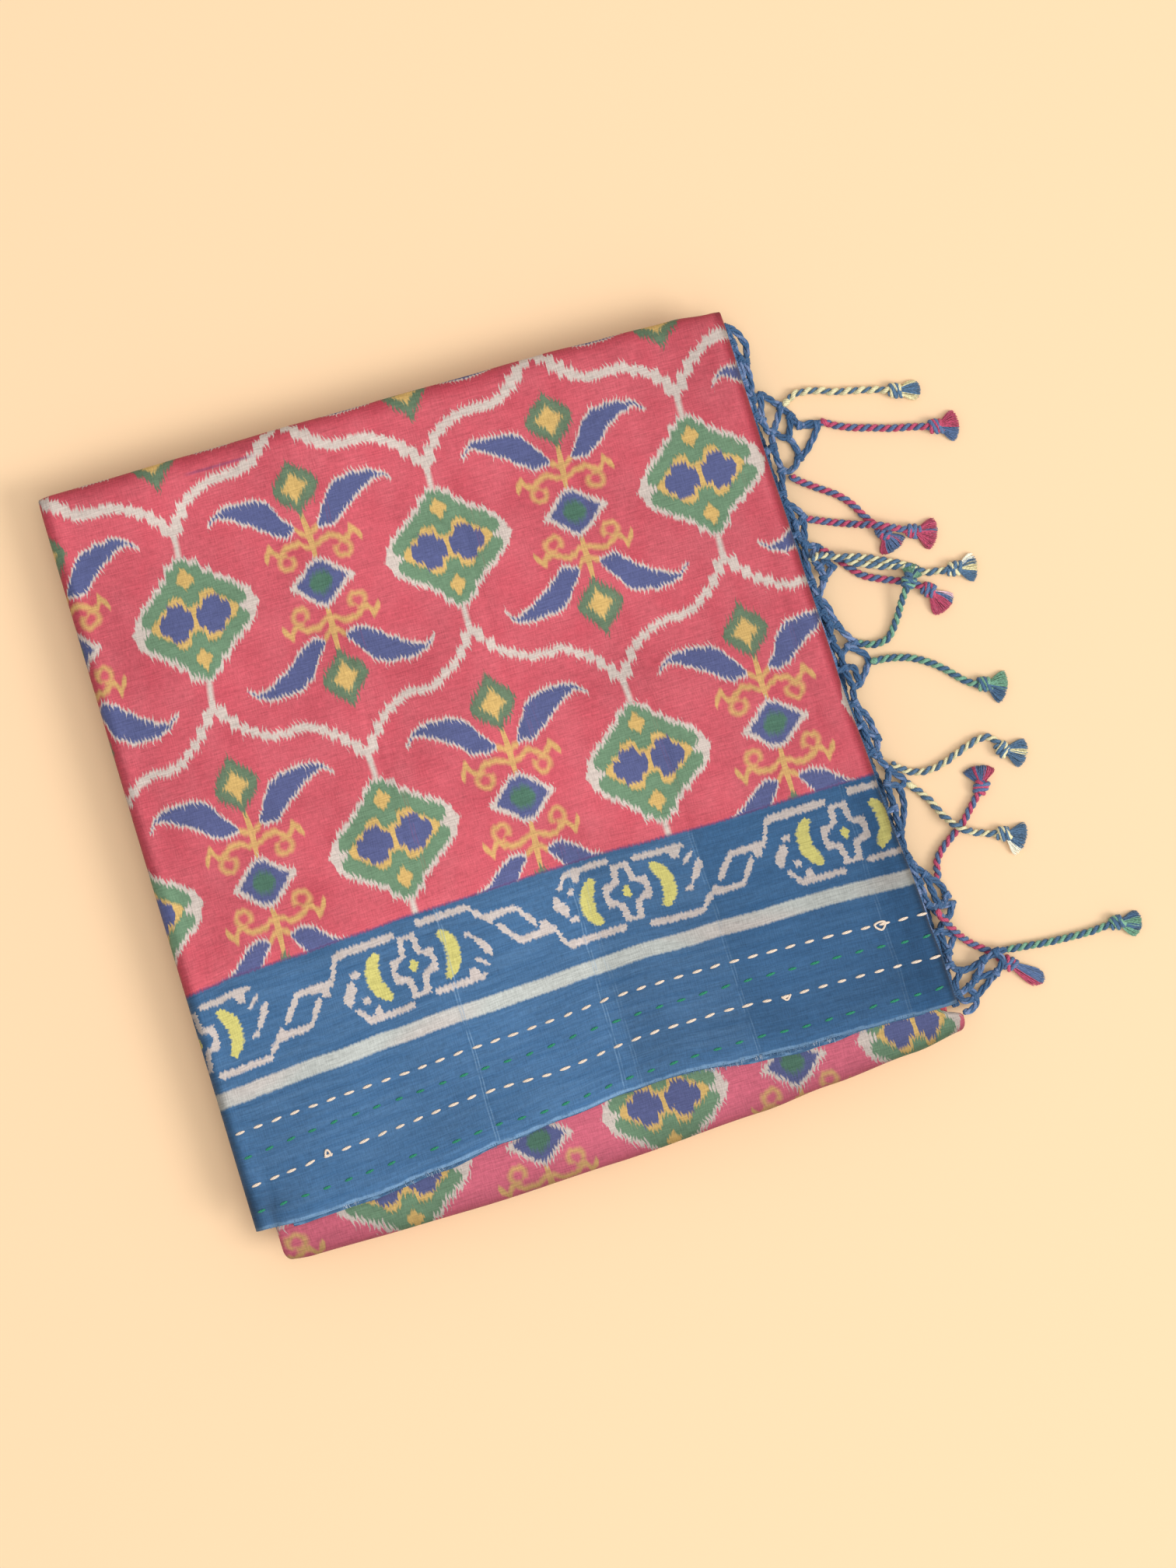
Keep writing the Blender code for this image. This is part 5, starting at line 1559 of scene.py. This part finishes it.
# the knot's four loops: turns round it, radius of the ply, and kind
LOOPS = ((2.2, 0.85, 0.0), (1.6, 0.80, 1.0), (1.3, 0.62, 0.0), (0.8, 0.7, 1.0))


def two_ply(basket, route, phase, navy, coloured):
    """Two plies round a route, half a turn apart: the navy one is kind 0, the coloured one 1.
    Their thickness is given as a share of the ply's radius."""
    for ply, radius in enumerate((navy, coloured)):
        line = helix(route, PLY_OFFSET, PITCH, phase + ply * math.pi)
        tube(basket, line, PLY_RADIUS * radius, sides=9, kind=float(ply), tone=0.38 + 0.12 * ply)


def wrapped_knot(basket, centre, heading, seed):
    """The knot: loops of the coloured ply and of the navy one round a full heart. Its rings
    lie a little askew, and it is wider than high."""
    across = np.array([-heading[1], heading[0], 0.0])
    low = (KNOT_RADIUS - 0.15) / BALL
    t = np.linspace(0, 1, 64)
    ring = (BALL - 0.72) * np.sqrt(np.maximum(0.05, 1 - (1.6 * (t - 0.5)) ** 2))
    for number, (turns, radius, kind) in enumerate(LOOPS):
        angle = t * 2 * np.pi * turns + number * 2.2 + seed
        slant = 0.45 * np.sin(seed + number * 2.4)
        sideways, rise = ring * np.cos(angle), ring * 0.88 * low * np.sin(angle)
        line = (centre + heading * ((t - 0.5) * BALL * 1.5 + sideways * slant)[:, None]
                + across * sideways[:, None] + UP * rise[:, None])
        tube(basket, line, radius, sides=8, kind=kind, tone=0.5 + 0.06 * number)
    steps = np.linspace(-1, 1, 9)
    heart = centre + heading * (steps * BALL * 0.75)[:, None]
    tube(basket, heart, (BALL - 1.1) * low * np.sqrt(np.maximum(0.1, 1 - 0.8 * steps ** 2)),
         sides=10, kind=0.0, tone=0.35)


# %% A tuft
TUFT_THREADS = 190
TUFT_START = 0.6, 1.1    # distance from the knot's middle, and half width there
TUFT_RADII = np.array([0.24, 0.26, 0.26, 0.25, 0.24, 0.22, 0.14])
TRIANGLE = np.radians([90, 210, 330])


def tuft(basket, centre, rng, direction, length, half_width, bunches):
    """The brush: fine threads that spread from the knot, droop to the floor and end unevenly.

    A thread starts at the knot, share * 1.1 mm to the side, with share from -1 to 1, and ends
    share * half width to the side, so the brush is a bell. Its tip sinks to its own small height
    over the floor, and its colour is that of its bunch.
    """
    count, rings = TUFT_THREADS, len(TUFT_RADII)
    share = np.linspace(-1, 1, count) + rng.normal(0, 0.03, count)
    lift = rng.random(count)
    reach = length * (1.0 - 0.20 * np.abs(share) ** 2.5) * (0.92 + 0.10 * rng.random(count))
    angle = math.radians(direction)
    ahead = np.array([math.cos(angle), math.sin(angle), 0.0])
    side = np.array([-math.sin(angle), math.cos(angle), 0.0])
    tip_z = FLOOR_GAP + 0.3 + lift * (2.2 - 1.2 * np.abs(share))
    t = np.linspace(0, 1, rings)
    start, width = TUFT_START
    forward = start + (reach[:, None] - start) * t
    spread = share[:, None] * (width + (half_width - width) * smooth(0.05, 1.0, t) ** 0.75)
    start_z = centre[2] + (lift - 0.5) * 2.8 * np.sqrt(np.maximum(0, 1 - 0.6 * share ** 2))
    height = start_z[:, None] * (1 - t) ** 1.4 + tip_z[:, None] * (1 - (1 - t) ** 1.4)
    sway = rng.normal(0, 0.16, (count, 1)) * np.sin(np.pi * t)
    sway = sway + rng.normal(0, 0.2, (count, 1)) * t ** 2
    line = (centre[None, None] * np.array([1, 1, 0]) + forward[..., None] * ahead
            + (spread + sway)[..., None] * side)
    line[..., 2] = np.maximum(height, FLOOR_GAP + 0.2)
    points = np.stack([line + TUFT_RADII[None, :, None] * (side * math.cos(a) + UP * math.sin(a))
                       for a in TRIANGLE], axis=2)
    place = (share + 1) / 2 * len(bunches) + rng.normal(0, 0.32, count)
    bunch = np.array(list(bunches))[np.clip(place.astype(int), 0, len(bunches) - 1)]
    tone = np.where(bunch == "w", 1.1, 0.3 + 0.4 * rng.random(count))
    each = rings * len(TRIANGLE)
    many_threads(basket, points, kind=np.repeat((bunch != "n").astype(float), each),
                 tone=np.repeat(tone, each), turn=np.repeat(rng.random(count), each),
                 run=np.tile(np.repeat(np.arange(float(rings)), len(TRIANGLE)), count))


# %% All thirteen tassels
# thickness of the navy and the coloured ply: of the first cord, and of the others by colour
FIRST_PLIES = (0.70, 1.12)
PLIES = {"yellow": (1.0, 0.80), "pink": (1.0, 0.94), "green": (1.0, 0.94)}


def tassel(number, colour, stops, brush):
    """One cord with its knot and tuft, as one piece."""
    rng = np.random.default_rng(40 + number)
    stops = lifted(stops, CORD_RADIUS)
    stops[-1, 2] = max(stops[-1, 2], KNOT_RADIUS + FLOOR_GAP)
    route = curved(stops, CORD_STEP)
    heading = route[-1] - route[-3]
    heading /= np.linalg.norm(heading)
    basket = Basket()
    plies = PLIES[colour] if number else FIRST_PLIES
    two_ply(basket, route[:-3], rng.random() * 6, *plies)
    wrapped_knot(basket, stops[-1], heading, rng.random() * 6)
    tuft(basket, stops[-1], rng, *brush)
    if number in BULBS:
        t = np.linspace(0, 1, 12)[:, None]
        line = route[0] + (route[6] - route[0]) * t + UP * 0.4
        tube(basket, line, 0.55 + 0.75 * np.sin(np.pi * (0.1 + 0.85 * t[:, 0])), sides=10,
             kind=1.0, tone=0.55)
    if number == DOUBLED:
        second = curved(lifted(SECOND_STRAND, CORD_RADIUS), CORD_STEP)
        two_ply(basket, second, 1.0, *plies)
    name = "tassel_%02d" % (number + 1)
    piece = basket.build("saree_" + name)
    piece.data.materials.append(cord_threads[colour])
    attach(piece, "root")
    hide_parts(name)
    colour + "_cord"
    return piece


tassels = [tassel(number, *row) for number, row in enumerate(CORDS)]
print("tassels:", len(tassels))

# %% [markdown]
# ## Running stitches
#
# Four rows of running stitches go along the border, two in cream and two in green. A running
# stitch dives into the cloth at both ends, so each is a small lens of thread, thickest at its
# middle. The rows were sewn by hand before the cloth was folded, so they bow with it.

# %% Rows of stitches, in threads of the chart
CREAM_ROWS = (
    ((-456, -348), (-381, -343), (-302, -339), (-226, -336), (-152, -331), (-78, -329),
     (-5, -325), (44, -321), (93, -320), (192, -321), (264, -324), (337, -327), (409, -332),
     (476, -336)),
    ((-456, -418), (-381, -411), (-303, -404), (-228, -397), (-152, -390), (-103, -390),
     (-52, -392), (-3, -388), (46, -382), (97, -379), (195, -380), (267, -385), (342, -387),
     (416, -390), (480, -394)),
)
GREEN_ROWS = (
    ((-455, -381), (-394, -374), (-330, -369), (-240, -365), (-150, -360), (-58, -359),
     (2, -353), (92, -350), (212, -350), (300, -354), (387, -358), (444, -364), (476, -364)),
    ((-459, -452), (-373, -448), (-283, -442), (-194, -439), (-135, -434), (-77, -436),
     (-18, -432), (41, -426), (128, -424), (214, -424), (272, -429), (358, -430), (444, -433),
     (476, -433)),
)


def cloth_surface(x, y):
    """Height of the top leaf's upper face, with its creases and waves."""
    return top_height(x, y) + crease_depth(x, y) + soft_waves(x, y)


def stitch_row(basket, row, pitch, length, thick, seed):
    """Lenses of thread along a row: radius = thick * (1 - a * a) ** 0.6, with a from -1 to 1
    along the stitch, and the middle line sinking into the cloth with a * a."""
    rng = np.random.default_rng(seed)
    stops = np.array(row, float) * THREAD
    x = np.arange(stops[0, 0], stops[-1, 0], pitch)
    x = x + rng.normal(0, 0.12, len(x))
    y = np.interp(x, *stops.T)
    slope = (np.interp(x + 3, *stops.T) - np.interp(x - 3, *stops.T)) / 6
    angle = np.arctan(slope) + 0.07 + rng.normal(0, 0.05, len(x))
    cosine, sine = np.cos(angle)[:, None], np.sin(angle)[:, None]
    a = np.linspace(-1, 1, 8)
    half = length / 2 * (1 + rng.normal(0, 0.06, len(x)))[:, None]
    px, py = x[:, None] + cosine * half * a, y[:, None] + sine * half * a
    pz = cloth_surface(px, py) + 0.22 - 0.34 * a ** 2
    radius = (thick * np.power(np.maximum(1 - a ** 2, 0.02), 0.6))[:, None]
    turn = np.linspace(0, 2 * np.pi, 8, endpoint=False)
    points = np.stack([px[..., None] - sine[..., None] * radius * np.cos(turn),
                       py[..., None] + cosine[..., None] * radius * np.cos(turn),
                       pz[..., None] + radius * np.sin(turn) * 0.62], axis=-1)
    count = len(x)
    many_threads(basket, points, run=np.tile(np.repeat(a * 1.6, len(turn)), count), kind=0.0,
                 turn=np.tile(turn / (2 * np.pi), count * len(a)),
                 tone=np.repeat(0.45 + 0.12 * rng.random(count), len(a) * len(turn)))


def loose_loop(basket, place, outline, radius=0.42):
    """A slack stitch that stands up from the cloth as an open loop."""
    x, y = np.array(place) * THREAD
    route = curved([(x + dx * THREAD, y + dy * THREAD, 0.0) for dx, dy in outline], 0.4)
    route[:, 2] = cloth_surface(route[:, 0], route[:, 1]) + 0.3
    tube(basket, route, radius, sides=8, kind=0.0, tone=0.5)


# %% The sewn stitches
cream, green = Basket(), Basket()
# each colour's rows, distance between stitches, their length, half thickness and first seed
for basket, rows, pitch, length, thick, seed in ((cream, CREAM_ROWS, 24.9, 15.0, 0.58, 5),
                                                 (green, GREEN_ROWS, 29.6, 12.5, 0.52, 15)):
    for number, row in enumerate(rows):
        stitch_row(basket, row, pitch * THREAD, length * THREAD, thick, seed + number)
loose_loop(cream, (409, -332), ((-7, 2), (0, 3.5), (7, 2), (6, -3), (1, -7), (-5, -3), (-7, 2)))
loose_loop(cream, (-356, -410), ((-4, 0), (-2.5, 6), (0, 9), (2.5, 6), (4, 0)))
loose_loop(cream, (267, -385), ((-6, 1), (0, -4.5), (6, 1)))
cream_stitches = cream.build("saree_cream_stitches")
green_stitches = green.build("saree_green_stitches")
for piece, thread, slot in ((cream_stitches, cream_thread, "yellow_cord"),
                            (green_stitches, green_thread, "green_cord")):
    piece.data.materials.append(thread)
    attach(piece, "root")

# %% [markdown]
# ## Frayed selvedge
#
# Along the near side the selvedge is worn, and short ends of pale thread stand out of it. Each
# is a thin three-sided thread, bent a little, that starts inside the edge.

# %% Loose ends along the selvedge
# along x from and to, how far out they start, length, share of all threads, and how pale
FRAYED = (
    (-136, 134, 0.3, 0.3, 6.0, 0.4), (-106, -98, 1.0, 1.2, 0.25, 1.0),
    (-92, -62, 1.2, 0.5, 1.6, 0.5), (-82, -76, 1.2, 1.2, 0.2, 1.0),
    (-72, -64, 1.2, 1.2, 0.3, 1.0), (-62, -42, 0.8, 0.5, 1.0, 0.5),
    (32, 110, 1.2, 0.6, 3.6, 0.6), (42, 64, 1.4, 1.0, 1.0, 1.0), (83, 93, 1.2, 1.1, 0.5, 1.0),
)
END_RADIUS = 0.10


def selvedge_ends(basket, count, seed):
    """Many short threads at once: a start on the edge, a direction, and a bend sideways."""
    rng = np.random.default_rng(seed)
    groups = np.array(FRAYED, float)
    pick = rng.choice(len(groups), count, p=groups[:, 4] / groups[:, 4].sum())
    low, high, out, length = groups[pick, :4].T
    x = low + (high - low) * rng.random(count)
    y = along(NEAR_EDGE, x) - out * rng.random(count) + 0.8
    angle = np.radians(-90 + rng.normal(0, 14, count))
    reach = 0.8 + length * (0.4 + 0.8 * rng.random(count))
    t = np.linspace(0, 1, 4)
    bend = rng.normal(0, 0.22, count)
    px = x[:, None] + (np.cos(angle) * reach)[:, None] * t + bend[:, None] * t ** 2
    py = y[:, None] + (np.sin(angle) * reach)[:, None] * t
    layer = np.where(rng.random(count) < 0.5, TOP_WALL + GAP, 0.1)
    pz = top_height(px, py) - layer[:, None] + 0.15 - 0.5 * t ** 2
    points = np.stack([px[..., None] + END_RADIUS * np.cos(TRIANGLE),
                       py[..., None] + 0 * TRIANGLE,
                       pz[..., None] + END_RADIUS * np.sin(TRIANGLE)], axis=-1)
    pale = groups[pick, 5] * (0.6 + 0.6 * rng.random(count))
    many_threads(basket, points, run=0.0, turn=0.0, kind=0.0,
                 tone=np.repeat(pale, len(t) * len(TRIANGLE)))


ends = Basket()
selvedge_ends(ends, 620, 3)
pale_thread = spun_thread("pale selvedge thread", "row blue", "row blue", pale="pale end",
                          pale_from=0.75)
selvedge_threads = ends.build("saree_selvedge_ends")
selvedge_threads.data.materials.append(pale_thread)
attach(selvedge_threads, "root")

# %% [markdown]
# ## Floor, light and camera
#
# The photograph looks straight down on a plain, warm, pale surface. A large soft light stands
# beyond the near right corner, so the pack's soft shadow falls to the far left.

# %% Floor
REACH = 1500.0
matte = new_material("floor", {"Base Color": (1.0, 0.715, 0.450, 1.0), "Roughness": 1.0,
                               "Specular IOR Level": 0.0})[0]
corners = [(x * REACH, y * REACH, 0) for x, y in ((-1, -1), (1, -1), (1, 1), (-1, 1))]
floor = build_mesh("studio_floor", corners, [[0, 1, 2, 3]])
floor.data.materials.append(matte)

# %% Lights and camera
def area_light(name, place, aim, size, power, colour=(1, 1, 1)):
    """A square soft light at a place in metres, turned to face its aim."""
    data = bpy.data.lights.new(name, "AREA")
    data.size, data.energy, data.color = size, power, colour
    light = bpy.data.objects.new(name, data)
    light.location = place
    away = np.array(place, float) - np.array(aim, float)
    light.rotation_euler = (math.acos(away[2] / np.linalg.norm(away)), 0,
                            math.atan2(away[1], away[0]) + math.pi / 2)
    collection.objects.link(light)


area_light("key", (2.9, -2.0, 3.3), (0, 0, 0), 1.9, 104.0, (1.0, 0.985, 0.965))
area_light("fill", (0.6, -0.6, 4.8), (0, 0, 0), 3.4, 78.0)
world = bpy.data.worlds.new("studio")
world.use_nodes = True
world.node_tree.nodes["Background"].inputs["Color"].default_value = (1.0, 0.98, 0.95, 1.0)
world.node_tree.nodes["Background"].inputs["Strength"].default_value = 0.52
bpy.context.scene.world = world
bpy.context.scene.view_settings.view_transform = "Standard"

ROLL = math.radians(-17.0)       # the camera's turn about its own line of sight
lens = bpy.data.cameras.new("camera")
lens.lens = 85.0
lens.sensor_fit = "AUTO"
camera = bpy.data.objects.new("camera", lens)
camera.location = (0.0305, -0.0146, 1.434)
camera.rotation_euler = (0.0, 0.0, ROLL)
collection.objects.link(camera)
bpy.context.scene.camera = camera
